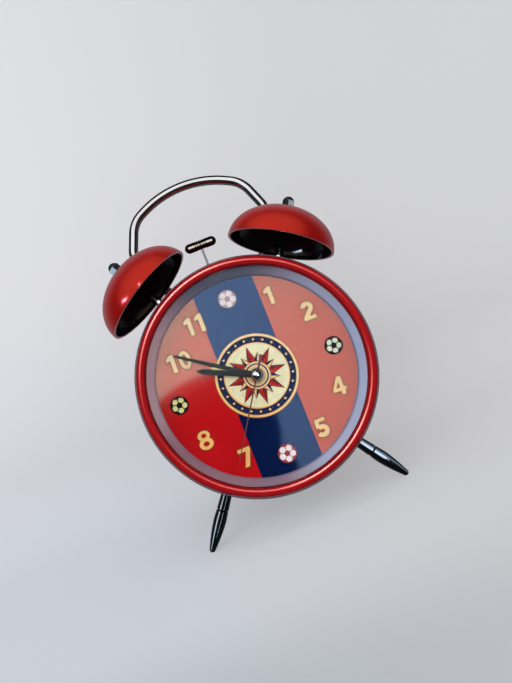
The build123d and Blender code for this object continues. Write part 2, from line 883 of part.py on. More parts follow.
def movement_bridge():
    plate = slab(housing_face(), bridge_front, bridge_back)
    plate -= setting_holes(bridge_front, bridge_back)
    gap = arbor_radius + running_gap
    for x, z in ((0, 0), (0, -third_distance), (0, intermediate_distance), (rotor_x, rotor_z)):
        plate -= shaft(gap, bridge_front, bridge_back, x, z)
    return plate


def movement_rear():
    tray = slab(housing_face(), bridge_back, housing_back)
    tray -= slab(housing_face(housing_wall), bridge_back, inner_back)
    tray -= setting_holes(inner_back, housing_back)
    gap = arbor_radius + running_gap
    for x, z in ((0, 0), (0, -third_distance), (0, intermediate_distance), (rotor_x, rotor_z)):
        tray -= shaft(gap, inner_back, inner_back + pivot_depth, x, z)
    return tray


def stator():
    """Flat lamination round the rotor, with two legs and the core that the coil sits on."""
    back = stator_front + stator_thick
    right = rotor_x + magnet_radius + stator_gap + stator_right_margin
    low = rotor_z - stator_half_height
    high = rotor_z + stator_half_height
    top = coil_z + core_height
    right_leg = coil_right + hole_gap
    core_half = core_height / 2
    part = block(stator_left, right, stator_front, back, low, high)
    part += block(stator_left, stator_left + stator_leg, stator_front, back, high, top)
    part += block(right_leg, right_leg + stator_leg, stator_front, back, high, top)
    part += block(stator_left, right_leg + stator_leg, stator_front, back,
                  coil_z - core_half, coil_z + core_half)
    return part - shaft(magnet_radius + stator_gap, stator_front, back, rotor_x, rotor_z)


def coil():
    """Wound bobbin on the stator's core."""
    axis_depth = stator_front + stator_thick / 2
    spool = rod(coil_radius - coil_flange_rise, coil_left, coil_right)
    spool += rod(coil_radius, coil_left, coil_left + coil_flange)
    spool += rod(coil_radius, coil_right - coil_flange, coil_right)
    spool -= rod(coil_bore, coil_left, coil_right)
    return Pos(0, axis_depth, coil_z) * Rot(0, 90, 0) * spool


def circuit_board():
    right = housing_half_width - housing_wall - board_margin / 2
    low = housing_bottom + housing_wall + board_margin
    board = block(right - board_width, right, inner_back - board_thick, inner_back, low, low + board_height)
    board_front = inner_back - board_thick
    chip = block(right - board_width + chip_inset, right - chip_inset, board_front - chip_thick, board_front,
                 low + chip_low, low + chip_low + chip_height)
    return board + chip


# Hands and centre cap

def hand(points, boss, hole, front, angle):
    """Flat hand drawn pointing at 12, with a boss and a hole, turned to its angle."""
    blade = make_face(Polyline(*points, close=True)) + Circle(boss)
    return at_clock(slab(blade, front, front + hand_thick), angle) - shaft(hole, front, front + hand_thick)


def baton(width, tip_width, length):
    """Outline of a hand with straight sides and a pointed tip."""
    half = width / 2
    tip = tip_width / 2
    shoulder = length - hand_tip_slope * tip_width
    return [(-half, 0), (half, 0), (tip, shoulder), (0, length), (-tip, shoulder)]


def alarm_hand():
    points = baton(alarm_hand_width, alarm_hand_width, alarm_hand_length)
    return hand(points, alarm_tube + hand_boss / 2, alarm_tube, alarm_hand_front, alarm_hand_angle)


def hour_hand():
    points = baton(hour_hand_width, hour_hand_width, hour_hand_length)
    return hand(points, hour_tube + hand_boss / 2, hour_tube, hour_hand_front, hour_hand_angle)


def minute_hand():
    points = baton(minute_hand_width, minute_tip_width, minute_hand_length)
    return hand(points, minute_tube + hand_boss, minute_tube, minute_hand_front, minute_hand_angle)


def second_hand():
    half = second_hand_width / 2
    tail = second_tail_width / 2
    tip = second_tip_width / 2
    points = [
        (-half, 0), (-tail, -second_hand_tail), (tail, -second_hand_tail), (half, 0),
        (tip, second_hand_length), (-tip, second_hand_length)]
    return hand(points, second_shaft_radius + hand_boss / 2, second_shaft_radius, second_hand_front,
                second_hand_angle)


def centre_cap():
    """Polished dome in front of the second hand."""
    top = second_hand_front - cap_height
    outline = dome_arc(second_hand_front, cap_height, cap_radius)
    outline += Polyline((cap_radius, second_hand_front), (0, second_hand_front), (0, top))
    return revolve(make_face(outline), Axis.Y)


# Back cover, battery and controls

bay_half = (battery_body + battery_nub) / 2 + contact_room
bay_height = 2 * (battery_radius + bay_side_gap)
bay_corner = cover_radius - bay_edge_gap
bay_low = bay_wall - math.sqrt(bay_corner ** 2 - (bay_half + bay_wall) ** 2)
bay_high = bay_low + bay_height
battery_z = (bay_low + bay_high) / 2
boss_low_z = bay_high + bay_wall + boss_bay_gap + boss_radius
boss_high_z = housing_top - boss_top_inset
boss_x = housing_half_width - boss_side_inset
battery_depth = cover_back - door_thick - bay_floor_gap - battery_radius
bay_front = battery_depth - battery_radius - bay_floor_gap
door_back = cover_back
door_front = cover_back - door_thick
door_low = bay_low + door_gap
door_high = bay_high - door_gap
door_pin_z = door_low + door_pin_radius
door_pin_depth = (door_front + door_back) / 2
door_half = bay_half - door_gap
knob_front = cover_back + knob_gap
stem_front = housing_back + stem_housing_gap
switch_circle = cover_radius - switch_inset
switch_x = switch_circle * math.sin(math.radians(switch_angle))
switch_z = switch_circle * math.cos(math.radians(switch_angle))
sound_circle = cover_radius - sound_slot_inset
sound_slot_x = sound_circle * math.sin(math.radians(sound_slot_angle))
sound_slot_z = sound_circle * math.cos(math.radians(sound_slot_angle))


def cover_screw():
    """Pan-head screw along the depth, drawn at the top of its circle."""
    screw = shaft(screw_head, cover_back, cover_back + screw_head_thick, 0, cover_screw_circle)
    screw += shaft(screw_radius, cover_back - screw_length, cover_back, 0, cover_screw_circle)
    slot = block(-screw_head, screw_head, cover_back + screw_head_thick / 2, cover_back + screw_head_thick,
                 cover_screw_circle - screw_slot_width / 2, cover_screw_circle + screw_slot_width / 2)
    return screw - slot


def switch_slot():
    wide = switch_stem_width + switch_travel + 2 * switch_clear
    high = switch_stem_height + 2 * switch_clear
    middle = switch_x + switch_travel / 2
    return block(middle - wide / 2, middle + wide / 2, cover_front, cover_back,
                 switch_z - high / 2, switch_z + high / 2)


def sound_slots():
    """Row of slots that let the alarm out of the case."""
    slots = None
    for i in range(sound_slot_count):
        z = sound_slot_z + (i - (sound_slot_count - 1) / 2) * sound_slot_pitch
        face = Pos(sound_slot_x, z) * SlotOverall(sound_slot_length, sound_slot_width)
        slot = slab(face, cover_front, cover_back)
        slots = slot if slots is None else slots + slot
    return slots


def back_cover():
    """Round cover with the battery bay, bosses that press on the movement, and the control holes."""
    part = disc(cover_radius, cover_front, cover_back)
    part += block(-bay_half - bay_wall, bay_half + bay_wall, bay_front - bay_wall, cover_front,
                  bay_low - bay_wall, bay_high + bay_wall)
    for x, z in ((-boss_x, boss_low_z), (boss_x, boss_low_z), (-boss_x, boss_high_z), (boss_x, boss_high_z)):
        part += shaft(boss_radius, housing_back, cover_front, x, z)
    part -= block(-bay_half, bay_half, bay_front, cover_back, bay_low, bay_high)
    hinge = Pos(0, door_pin_depth, door_pin_z) * Rot(0, 90, 0)
    part -= hinge * Cylinder(door_pin_radius + running_gap, 2 * (bay_half + door_pin_reach))
    part -= shaft(stem_radius + stem_gap, cover_front, cover_back, setting_distance)
    part -= shaft(stem_radius + stem_gap, cover_front, cover_back, -setting_distance)
    for angle in cover_screw_angles:
        hole = shaft(screw_radius + hole_gap, cover_front, cover_back, 0, cover_screw_circle)
        part -= at_clock(hole, angle)
    return part - switch_slot() - sound_slots()


def battery_door():
    """Flap hinged at its lower edge, with grip ribs by its upper edge."""
    part = block(-door_half, door_half, door_front, door_back, door_low, door_high)
    hinge = Pos(0, door_pin_depth, door_pin_z) * Rot(0, 90, 0)
    part += hinge * Cylinder(door_pin_radius, 2 * (bay_half + door_pin_reach - door_gap / 2))
    for i in range(grip_count):
        top = door_high - grip_inset - grip_pitch * i
        part += block(-grip_length / 2, grip_length / 2, door_back, door_back + grip_proud,
                      top - grip_width, top)
    return part


def battery():
    """Round cell with its button at the right."""
    half = (battery_body + battery_nub) / 2
    cell = rod(battery_radius, -half, half - battery_nub) + rod(battery_nub_radius, half - battery_nub, half)
    return Pos(0, battery_depth, battery_z) * Rot(0, 90, 0) * cell


def battery_contact(side):
    """Plate on the end wall of the bay, with a leaf bent towards the battery."""
    wall = side * bay_half
    tip = side * ((battery_body + battery_nub) / 2 + hole_gap)
    seat = wall - side * contact_thick
    low = battery_z - contact_height / 2
    high = battery_z + contact_height / 2
    plate = [
        (wall, low), (wall, high), (seat, high), (seat, battery_z + contact_root_half),
        (tip, battery_z + contact_tip_half), (tip, battery_z - contact_tip_half),
        (seat, battery_z - contact_root_half), (seat, low)]
    face = make_face(Polyline(*plate, close=True))
    return slab(face, battery_depth - contact_width / 2, battery_depth + contact_width / 2)


def knob(x):
    """Fluted knob with a stem that is pushed onto its arbor."""
    back = knob_front + knob_length
    part = shaft(knob_radius, knob_front, back, x) + shaft(stem_radius, stem_front, knob_front, x)
    for i in range(knob_flutes):
        angle = 2 * math.pi * i / knob_flutes
        part -= shaft(knob_flute_radius, knob_front, back,
                      x + knob_radius * math.cos(angle), knob_radius * math.sin(angle))
    return part - shaft(setting_radius, stem_front, stem_front + stem_socket, x)


def alarm_switch():
    """Slider: a foot inside the cover, a stem in the slot and a ribbed cap outside."""
    foot_back = cover_front - axial_gap
    foot_front = foot_back - switch_foot_thick
    cap_front = cover_back + axial_gap
    half_stem_x = switch_stem_width / 2
    half_stem_z = switch_stem_height / 2
    part = block(switch_x - half_stem_x, switch_x + half_stem_x, foot_front, cap_front,
                 switch_z - half_stem_z, switch_z + half_stem_z)
    foot_x = half_stem_x + switch_foot_margin
    foot_z = half_stem_z + switch_foot_margin
    part += block(switch_x - foot_x, switch_x + foot_x, foot_front, foot_back,
                  switch_z - foot_z, switch_z + foot_z)
    cap_top = cap_front + switch_cap_thick
    cap_x = switch_cap_width / 2
    cap_z = switch_cap_height / 2
    part += block(switch_x - cap_x, switch_x + cap_x, cap_front, cap_top, switch_z - cap_z, switch_z + cap_z)
    for i in (-1, 0, 1):
        x = switch_x + switch_groove_pitch * i
        part -= block(x - switch_groove_width / 2, x + switch_groove_width / 2, cap_top - switch_groove_depth,
                      cap_top, switch_z - cap_z, switch_z + cap_z)
    return part


def switch_housing():
    """Tray on the inside of the cover that keeps the slider's foot."""
    foot_half_x = switch_stem_width / 2 + switch_foot_margin
    foot_half_z = switch_stem_height / 2 + switch_foot_margin
    depth = switch_foot_thick + 2 * axial_gap
    left = switch_x - foot_half_x - switch_clear
    right = switch_x + foot_half_x + switch_travel + switch_clear
    low = switch_z - foot_half_z - switch_clear
    high = switch_z + foot_half_z + switch_clear
    front = cover_front - depth
    wall = switch_tray_wall
    tray = block(left - wall, right + wall, front - switch_tray_floor, cover_front, low - wall, high + wall)
    return tray - block(left, right, front, cover_front, low, high)


# The whole clock, leaned back and set on the floor

def both_sides(shape):
    return shape + mirrored(shape)


nodes = {
    "case_drum": case_drum(),
    "front_bezel": front_bezel(),
    "lens": lens(),
    "dial_surround": dial_surround(),
    "dial_plate": dial_plate(),
    "right_bell": at_clock(bell(), bell_angle, bell_depth),
    "left_bell": at_clock(bell(), -bell_angle, bell_depth),
    "bell_posts": both_sides(at_clock(bell_post(), bell_angle, bell_depth)),
    "bell_cap_nuts": both_sides(at_clock(cap_nut(), bell_angle, bell_depth)),
    "bell_inner_nuts": both_sides(at_clock(inside_nut(), bell_angle, bell_depth)),
    "handle": handle(),
    "handle_screws": both_sides(at_clock(handle_screw(), handle_angle, handle_depth)),
    "right_foot": placed_foot(-1),
    "left_foot": placed_foot(1),
    "foot_nuts": both_sides(at_clock(inside_nut(), 180 + foot_angle, foot_depth)),
    "hammer_head": hammer_head(),
    "hammer_rod": hammer_rod(),
    "hammer_arm": hammer_arm(),
    "hammer_pivot_pin": hammer_pin(),
    "hammer_bracket": hammer_bracket(),
    "hammer_motor": hammer_motor(),
    "motor_crank": motor_crank(),
    "alarm_wheel": alarm_wheel(),
    "hour_wheel": hour_wheel(),
    "minute_arbor": minute_arbor(),
    "second_arbor": second_arbor(),
    "minute_wheel": minute_wheel(),
    "alarm_pinion": alarm_pinion(),
    "third_wheel": third_wheel(),
    "intermediate_wheel": intermediate_wheel(),
    "rotor": rotor(),
    "movement_front": movement_front(),
    "movement_bridge": movement_bridge(),
    "movement_rear": movement_rear(),
    "stator": stator(),
    "coil": coil(),
    "circuit_board": circuit_board(),
    "alarm_hand": alarm_hand(),
    "hour_hand": hour_hand(),
    "minute_hand": minute_hand(),
    "second_hand": second_hand(),
    "centre_cap": centre_cap(),
    "back_cover": back_cover(),
    "cover_screws": at_clock(cover_screw(), cover_screw_angles[0])
    + at_clock(cover_screw(), cover_screw_angles[1]) + at_clock(cover_screw(), cover_screw_angles[2]),
    "battery_door": battery_door(),
    "battery": battery(),
    "battery_contacts": battery_contact(-1) + battery_contact(1),
    "time_knob": knob(setting_distance),
    "alarm_knob": knob(-setting_distance),
    "alarm_switch": alarm_switch(),
    "switch_housing": switch_housing(),
}

stance = Pos(0, 0, floor_drop) * Rot(-lean, 0, 0)
standing = {name: stance * shape for name, shape in nodes.items()}
boxes = [shape.bounding_box() for shape in standing.values()]
middle_depth = (min(box.min.Y for box in boxes) + max(box.max.Y for box in boxes)) / 2

os.makedirs("parts", exist_ok=True)
for name, shape in standing.items():
    export_step(Pos(0, -middle_depth, 0) * shape, f"parts/{name}.step")
print("nodes", len(standing), "depth offset", round(middle_depth, 4), "floor drop", round(floor_drop, 4))
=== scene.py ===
import json
import math
import bmesh
import bpy
from mathutils import Matrix, Vector
from mathutils.geometry import tessellate_polygon

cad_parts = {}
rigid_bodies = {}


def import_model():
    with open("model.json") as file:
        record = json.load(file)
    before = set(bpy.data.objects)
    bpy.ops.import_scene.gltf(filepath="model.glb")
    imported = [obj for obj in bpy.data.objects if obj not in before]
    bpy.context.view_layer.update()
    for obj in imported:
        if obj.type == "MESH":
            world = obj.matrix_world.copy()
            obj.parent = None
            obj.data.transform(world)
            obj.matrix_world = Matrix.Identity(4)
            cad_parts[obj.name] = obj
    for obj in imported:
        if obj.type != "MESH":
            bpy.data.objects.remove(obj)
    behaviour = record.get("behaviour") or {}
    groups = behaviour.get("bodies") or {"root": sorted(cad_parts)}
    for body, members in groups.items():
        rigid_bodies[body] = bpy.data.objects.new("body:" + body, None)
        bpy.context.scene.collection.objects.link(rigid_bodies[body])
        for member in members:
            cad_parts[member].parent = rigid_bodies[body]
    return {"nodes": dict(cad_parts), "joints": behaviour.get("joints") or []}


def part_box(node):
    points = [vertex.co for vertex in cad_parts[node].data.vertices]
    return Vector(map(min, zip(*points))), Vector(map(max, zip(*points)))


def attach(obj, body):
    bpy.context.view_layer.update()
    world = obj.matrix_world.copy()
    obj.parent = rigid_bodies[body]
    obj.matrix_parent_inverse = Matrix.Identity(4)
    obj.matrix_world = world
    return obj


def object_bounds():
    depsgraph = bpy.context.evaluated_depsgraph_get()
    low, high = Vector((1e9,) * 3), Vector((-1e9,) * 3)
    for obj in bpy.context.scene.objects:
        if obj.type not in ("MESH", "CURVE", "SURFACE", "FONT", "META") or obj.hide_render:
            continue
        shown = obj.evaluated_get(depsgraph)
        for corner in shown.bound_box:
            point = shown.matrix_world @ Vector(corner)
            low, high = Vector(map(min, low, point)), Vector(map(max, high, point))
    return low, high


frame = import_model()
bpy.context.view_layer.update()
cad_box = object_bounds()
nodes = frame["nodes"]

# Lengths are in millimetres and angles in degrees, unless a name or a comment says otherwise.
MM = 0.001

# Depths, counted from the foremost ring of the bezel.
DIAL_FRONT = 10.5
DIAL_MIDDLE = 10.75
BELL_DEPTH = 24.0
COVER_BACK = 50.5

# The front and back of each print, which is sunk a little into its surface.
SUNK = 0.02
FIGURE_PRINT = (DIAL_FRONT - 0.08, DIAL_FRONT + SUNK)
BALL_PRINT = (DIAL_FRONT - 0.12, DIAL_FRONT + SUNK)
SUNBURST_PRINT = (DIAL_FRONT - 0.06, DIAL_FRONT + SUNK)
BACK_PRINT = (COVER_BACK - SUNK, COVER_BACK + 0.1)

# The dial's print.
STRIPE_HALF = 14.6
STRIPE_BLUR = 0.12
MARK_RING = 38.0
BALL_RADIUS = 4.3
STROKE = 1.95
FIGURE_SCALE = 1.08
FIGURE_OUTLINE = 0.33

# The bells: how far they lean outwards, and how far their mouths lie from the axis of the hands.
BELL_ANGLE = 31.6
BELL_MOUTH = 65.3
# A face is part of the rim if it is lower than this over the mouth and its normal points back by this share.
RIM_HEIGHT = 0.4
RIM_FACING = 0.7

# The share of the light that the lens mirrors where it is seen straight on.
LENS_GLOSS = 0.002

# The clock leans back. Its own axes are across, depth (into the clock) and up (towards 12 o'clock).
# They start on the axis of the hands, level with the foremost ring of the bezel.
spin = next(j for j in frame["joints"] if j["name"] == "second_spin")
across = Vector((1.0, 0.0, 0.0))
depth = Vector(spin["axis"]).normalized()
up = across.cross(depth)
dial_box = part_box("dial_plate")
start = (dial_box[0] + dial_box[1]) / 2 - depth * DIAL_MIDDLE * MM
turn = Matrix((across, depth, up)).transposed()
place = Matrix.Translation(start) @ (turn * MM).to_4x4()


class ShaderNodes:
    """Short calls for the nodes of paints, lamps and the sky."""

    def __init__(self, tree):
        self.tree = tree
        self.tree.nodes.clear()

    def node(self, kind, **settings):
        made = self.tree.nodes.new(kind)
        for key, value in settings.items():
            setattr(made, key, value)
        return made

    def put(self, socket, value):
        """Link a socket to the output of another node, or set its value."""
        if isinstance(value, bpy.types.NodeSocket):
            self.tree.links.new(value, socket)
        else:
            socket.default_value = value

    def put_colour(self, socket, colour):
        self.put(socket, colour if isinstance(colour, bpy.types.NodeSocket) else (*colour, 1.0))

    def ramp(self, value, low, high, to_low=0.0, to_high=1.0):
        """A smooth step between two numbers, while the value goes from low to high."""
        made = self.node("ShaderNodeMapRange", interpolation_type="SMOOTHSTEP")
        self.put(made.inputs["Value"], value)
        for key, number in (("From Min", low), ("From Max", high), ("To Min", to_low), ("To Max", to_high)):
            made.inputs[key].default_value = number
        return made.outputs["Result"]

    def mix(self, share, first, second):
        made = self.node("ShaderNodeMix", data_type="RGBA")
        self.put(made.inputs["Factor"], share)
        self.put_colour(made.inputs["A"], first)
        self.put_colour(made.inputs["B"], second)
        return made.outputs["Result"]

    def maths(self, operation, *values):
        made = self.node("ShaderNodeMath", operation=operation)
        for socket, value in zip(made.inputs, values):
            self.put(socket, value)
        return made.outputs["Value"]

    def dot(self, vector, direction):
        made = self.node("ShaderNodeVectorMath", operation="DOT_PRODUCT")
        self.put(made.inputs[0], vector)
        made.inputs[1].default_value = direction
        return made.outputs["Value"]

    def along(self, direction):
        """The distance from the start along a direction, in millimetres."""
        made = self.node("ShaderNodeVectorMath", operation="SUBTRACT")
        self.put(made.inputs[0], self.coord)
        made.inputs[1].default_value = start
        return self.dot(made.outputs["Vector"], direction / MM)

    def radius(self):
        """The distance from the axis of the hands, in millimetres."""
        squares = [self.maths("POWER", self.maths("ABSOLUTE", self.along(way)), 2.0) for way in (across, up)]
        return self.maths("SQRT", self.maths("ADD", *squares))


class Paint(ShaderNodes):
    """A node material."""

    def __init__(self, name):
        self.mat = bpy.data.materials.new(name)
        self.mat.use_nodes = True
        super().__init__(self.mat.node_tree)
        self.out = self.node("ShaderNodeOutputMaterial")
        self.coord = self.node("ShaderNodeTexCoord").outputs["Object"]

    def noise(self, scale, detail=3.0, rough=0.5, where=None):
        made = self.node("ShaderNodeTexNoise")
        self.put(made.inputs["Vector"], where or self.coord)
        for key, number in (("Scale", scale), ("Detail", detail), ("Roughness", rough)):
            made.inputs[key].default_value = number
        return made.outputs["Fac"]

    def uneven(self, noise, first=0.0, last=1.0):
        """A number that wanders between two others with a noise."""
        return self.ramp(noise, 0.3, 0.7, first, last)

    def stretched(self, *scale):
        made = self.node("ShaderNodeMapping")
        self.put(made.inputs["Vector"], self.coord)
        made.inputs["Scale"].default_value = scale
        return made.outputs["Vector"]

    def facing(self):
        """How far the surface turns away from the eye, from 0 to 1."""
        return self.node("ShaderNodeLayerWeight").outputs["Facing"]

    def bump(self, height, distance):
        made = self.node("ShaderNodeBump")
        self.put(made.inputs["Height"], height)
        made.inputs["Distance"].default_value = distance * MM
        made.inputs["Strength"].default_value = 1.0
        return made.outputs["Normal"]

    def shader(self, colour, rough, metallic=0.0, bump=None, **settings):
        """The finished material. Settings go by the name of their socket, with _ in place of a space."""
        made = self.node("ShaderNodeBsdfPrincipled")
        self.put_colour(made.inputs["Base Color"], colour)
        self.put(made.inputs["Roughness"], rough)
        self.put(made.inputs["Metallic"], metallic)
        if bump is not None:
            self.put(made.inputs["Normal"], bump)
        for key, value in settings.items():
            self.put(made.inputs[key.replace("_", " ")], value)
        return self.finished(made.outputs["BSDF"])

    def blend(self, share, first, second):
        """Two shaders mixed by a share."""
        made = self.node("ShaderNodeMixShader")
        self.put(made.inputs["Fac"], share)
        self.put(made.inputs[1], first)
        self.put(made.inputs[2], second)
        return made.outputs["Shader"]

    def finished(self, surface):
        self.put(self.out.inputs["Surface"], surface)
        return self.mat


def finish_of(name, first, second, metallic, rough, scale, grain=0.0, streak=None, outline=None, **settings):
    """A surface whose colour drifts between two close tones, with uneven gloss and a fine grain.
    An outline colour darkens polished metal where it turns away from the eye: painted shade along its edges."""
    p = Paint(name)
    colour = p.mix(p.ramp(p.noise(scale * 0.25, 2.0), 0.35, 0.65), first, second)
    # The outline colour is painted shade at the edges of polished metal.
    if outline:
        colour = p.mix(p.ramp(p.facing(), 0.24, 0.56), colour, outline)
    fine = p.noise(scale * 6.0, 4.0, 0.6, p.stretched(*streak) if streak else None)
    bump = p.bump(fine, grain) if grain else None
    return p.shader(colour, p.uneven(fine, *rough), metallic, bump, **settings)


def printed(name, colour, rough=0.42, gloss=0.10, sheen=(1.0, 1.0, 1.0)):
    """Ink, with a slightly darker tone in places. The sheen tints its reflections."""
    p = Paint(name)
    darker = tuple(c * 0.88 for c in colour)
    fine = p.noise(4200.0, 4.0)
    tone = p.mix(p.uneven(p.noise(260.0)), colour, darker)
    return p.shader(tone, p.uneven(fine, rough - 0.05, rough + 0.06), 0.0, p.bump(fine, 0.001),
                    Specular_IOR_Level=gloss, Specular_Tint=(*sheen, 1.0))


def bezel_red():
    """Glossy red with painted shade along the inner and outer edges of its roll, and a dusky flange behind.
    """
    p = Paint("bezel_red")
    fine = p.noise(2600.0)
    away = p.radius()
    painted_shade_inner_edge = p.ramp(away, 49.8, 50.6, 1.0, 0.0)
    painted_shade_outer_edge = p.ramp(away, 52.9, 53.7)
    flange = p.ramp(p.along(depth), 3.4, 3.8)
    red = p.mix(p.uneven(p.noise(30.0, 2.0)), (0.50, 0.006, 0.011), (0.46, 0.005, 0.009))
    # Painted shade: the red darkens along the inner and outer edges of the roll.
    red = p.mix(p.maths("MAXIMUM", painted_shade_inner_edge, painted_shade_outer_edge), red, (0.15, 0.006, 0.009))
    colour = p.mix(flange, red, (0.20, 0.02, 0.03))
    return p.shader(colour, p.uneven(fine, 0.10, 0.15), 0.3, p.bump(fine, 0.002),
                    Coat_Weight=1.0, Coat_Roughness=0.03)


def drum_red():
    """Red enamel. The front flange is dark with painted shadow, with a thin pale ring of painted reflection.
    """
    p = Paint("drum_red")
    fine = p.noise(2200.0, 4.0)
    away = p.radius()
    # Painted light on the front flange: dark painted shadow, and a thin pale ring of painted reflection.
    ring = p.maths("MULTIPLY", p.ramp(away, 54.3, 54.45), p.ramp(away, 54.8, 54.9, 1.0, 0.0))
    front = p.ramp(p.along(depth), 4.6, 4.9, 1.0, 0.0)
    red = p.mix(p.uneven(p.noise(24.0, 2.0)), (0.42, 0.010, 0.010), (0.36, 0.007, 0.008))
    colour = p.mix(front, red, p.mix(ring, (0.05, 0.015, 0.03), (0.40, 0.22, 0.26)))
    return p.shader(colour, p.uneven(fine, 0.2, 0.28), 0.45, p.bump(fine, 0.005),
                    Coat_Weight=0.5, Coat_Roughness=0.08)


def dial_print():
    """Glossy red paper with a blue stripe through 12 and 6 o'clock."""
    p = Paint("dial_print")
    side = p.maths("ADD", p.maths("ABSOLUTE", p.along(across)), p.maths("MULTIPLY", p.noise(1500.0), 0.08))
    stripe = p.ramp(side, STRIPE_HALF, STRIPE_HALF + STRIPE_BLUR, 1.0, 0.0)
    tone = p.uneven(p.noise(60.0))
    red = p.mix(tone, (0.54, 0.006, 0.010), (0.50, 0.005, 0.009))
    navy = p.mix(tone, (0.002, 0.010, 0.056), (0.002, 0.008, 0.048))
    sheen = p.mix(stripe, (0.86, 1.0, 0.775), (0.36, 0.48, 0.87))
    return p.shader(p.mix(stripe, red, navy), p.uneven(p.noise(3200.0, 4.0), 0.04, 0.06),
                    Specular_IOR_Level=0.69, Specular_Tint=sheen)


def hammer_paint():
    """Black chrome with fine turned grooves round its middle, drawn as rings of painted shade. It darkens
    with painted shade where it turns away from the eye.
    """
    p = Paint("hammer_black_chrome")
    groove_pitch, groove_band = 1.15, 2.8
    fine = p.noise(1600.0, 4.0)
    low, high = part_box("hammer_head")
    middle = (place.inverted() @ ((low + high) / 2)).x
    ring = p.maths("ABSOLUTE", p.maths("SUBTRACT", p.along(across), middle))
    wave = p.maths("SINE", p.maths("MULTIPLY", ring, 2.0 * math.pi / groove_pitch))
    inside = p.ramp(ring, groove_band, groove_band + 0.2, 1.0, 0.0)
    # Painted shade in the grooves: darker rings round the middle.
    grooves = p.maths("MULTIPLY", p.ramp(wave, -0.1, 0.6), inside)
    # Painted shade: the steel darkens where it turns away from the eye.
    steel = p.mix(p.ramp(p.facing(), 0.10, 0.40), (0.060, 0.057, 0.052), (0.008, 0.008, 0.008))
    colour = p.mix(grooves, steel, (0.012, 0.010, 0.007))
    return p.shader(colour, p.uneven(fine, 0.08, 0.14), 1.0, p.bump(fine, 0.003))


def surround_lilac():
    """Satin lilac grey with painted light and shade: pinker to the left and bluer to the right, darker at the
    top and lower left, and a painted shadow along the inner edge.
    """
    p = Paint("surround_lilac")
    fine = p.noise(1800.0, 4.0)
    side = p.ramp(p.along(across), -45.0, 45.0)
    painted_shade_low_left = p.ramp(p.along((across * -0.6 - up * 0.8).normalized()), 27.0, 44.0)
    painted_shade_inner_edge = p.ramp(p.radius(), 46.6, 47.3, 0.75, 0.0)
    # Painted light: pinker to the left, bluer to the right.
    colour = p.mix(side, (0.62, 0.46, 0.53), (0.43, 0.56, 0.81))
    # Painted shade at the top.
    colour = p.mix(p.ramp(p.along(up), 32.0, 50.0), colour, (0.18, 0.19, 0.28))
    # Painted shade at the lower left.
    colour = p.mix(painted_shade_low_left, colour, (0.33, 0.22, 0.28))
    # A painted shadow along the inner edge.
    colour = p.mix(painted_shade_inner_edge, colour, p.mix(side, (0.28, 0.15, 0.19), (0.05, 0.08, 0.22)))
    return p.shader(colour, p.uneven(fine, 0.3, 0.4), 0.1, p.bump(fine, 0.008))


def lens_clear():
    """Thin clear glass that mirrors most where it turns away from the eye."""
    p = Paint("lens_clear")
    clear = p.node("ShaderNodeBsdfTransparent")
    clear.inputs["Color"].default_value = (0.97, 0.98, 0.975, 1.0)
    gloss = p.node("ShaderNodeBsdfGlossy")
    p.put(gloss.inputs["Roughness"], p.uneven(p.noise(900.0, 2.0), 0.008, 0.018))
    share = p.maths("MULTIPLY_ADD", p.maths("POWER", p.facing(), 5.0), 0.96, LENS_GLOSS)
    return p.finished(p.blend(share, clear.outputs["BSDF"], gloss.outputs["BSDF"]))


def movement_front_paint():
    """Grey plastic behind the dial, with a brass bush where it comes through."""
    p = Paint("movement_front_paint")
    fine = p.noise(1500.0, 4.0)
    bush = p.ramp(p.along(depth), DIAL_FRONT - 0.1, DIAL_FRONT + 0.1, 1.0, 0.0)
    colour = p.mix(bush, (0.19, 0.19, 0.20), (0.55, 0.36, 0.12))
    return p.shader(colour, p.uneven(fine, 0.34, 0.46), bush, p.bump(fine, 0.01))


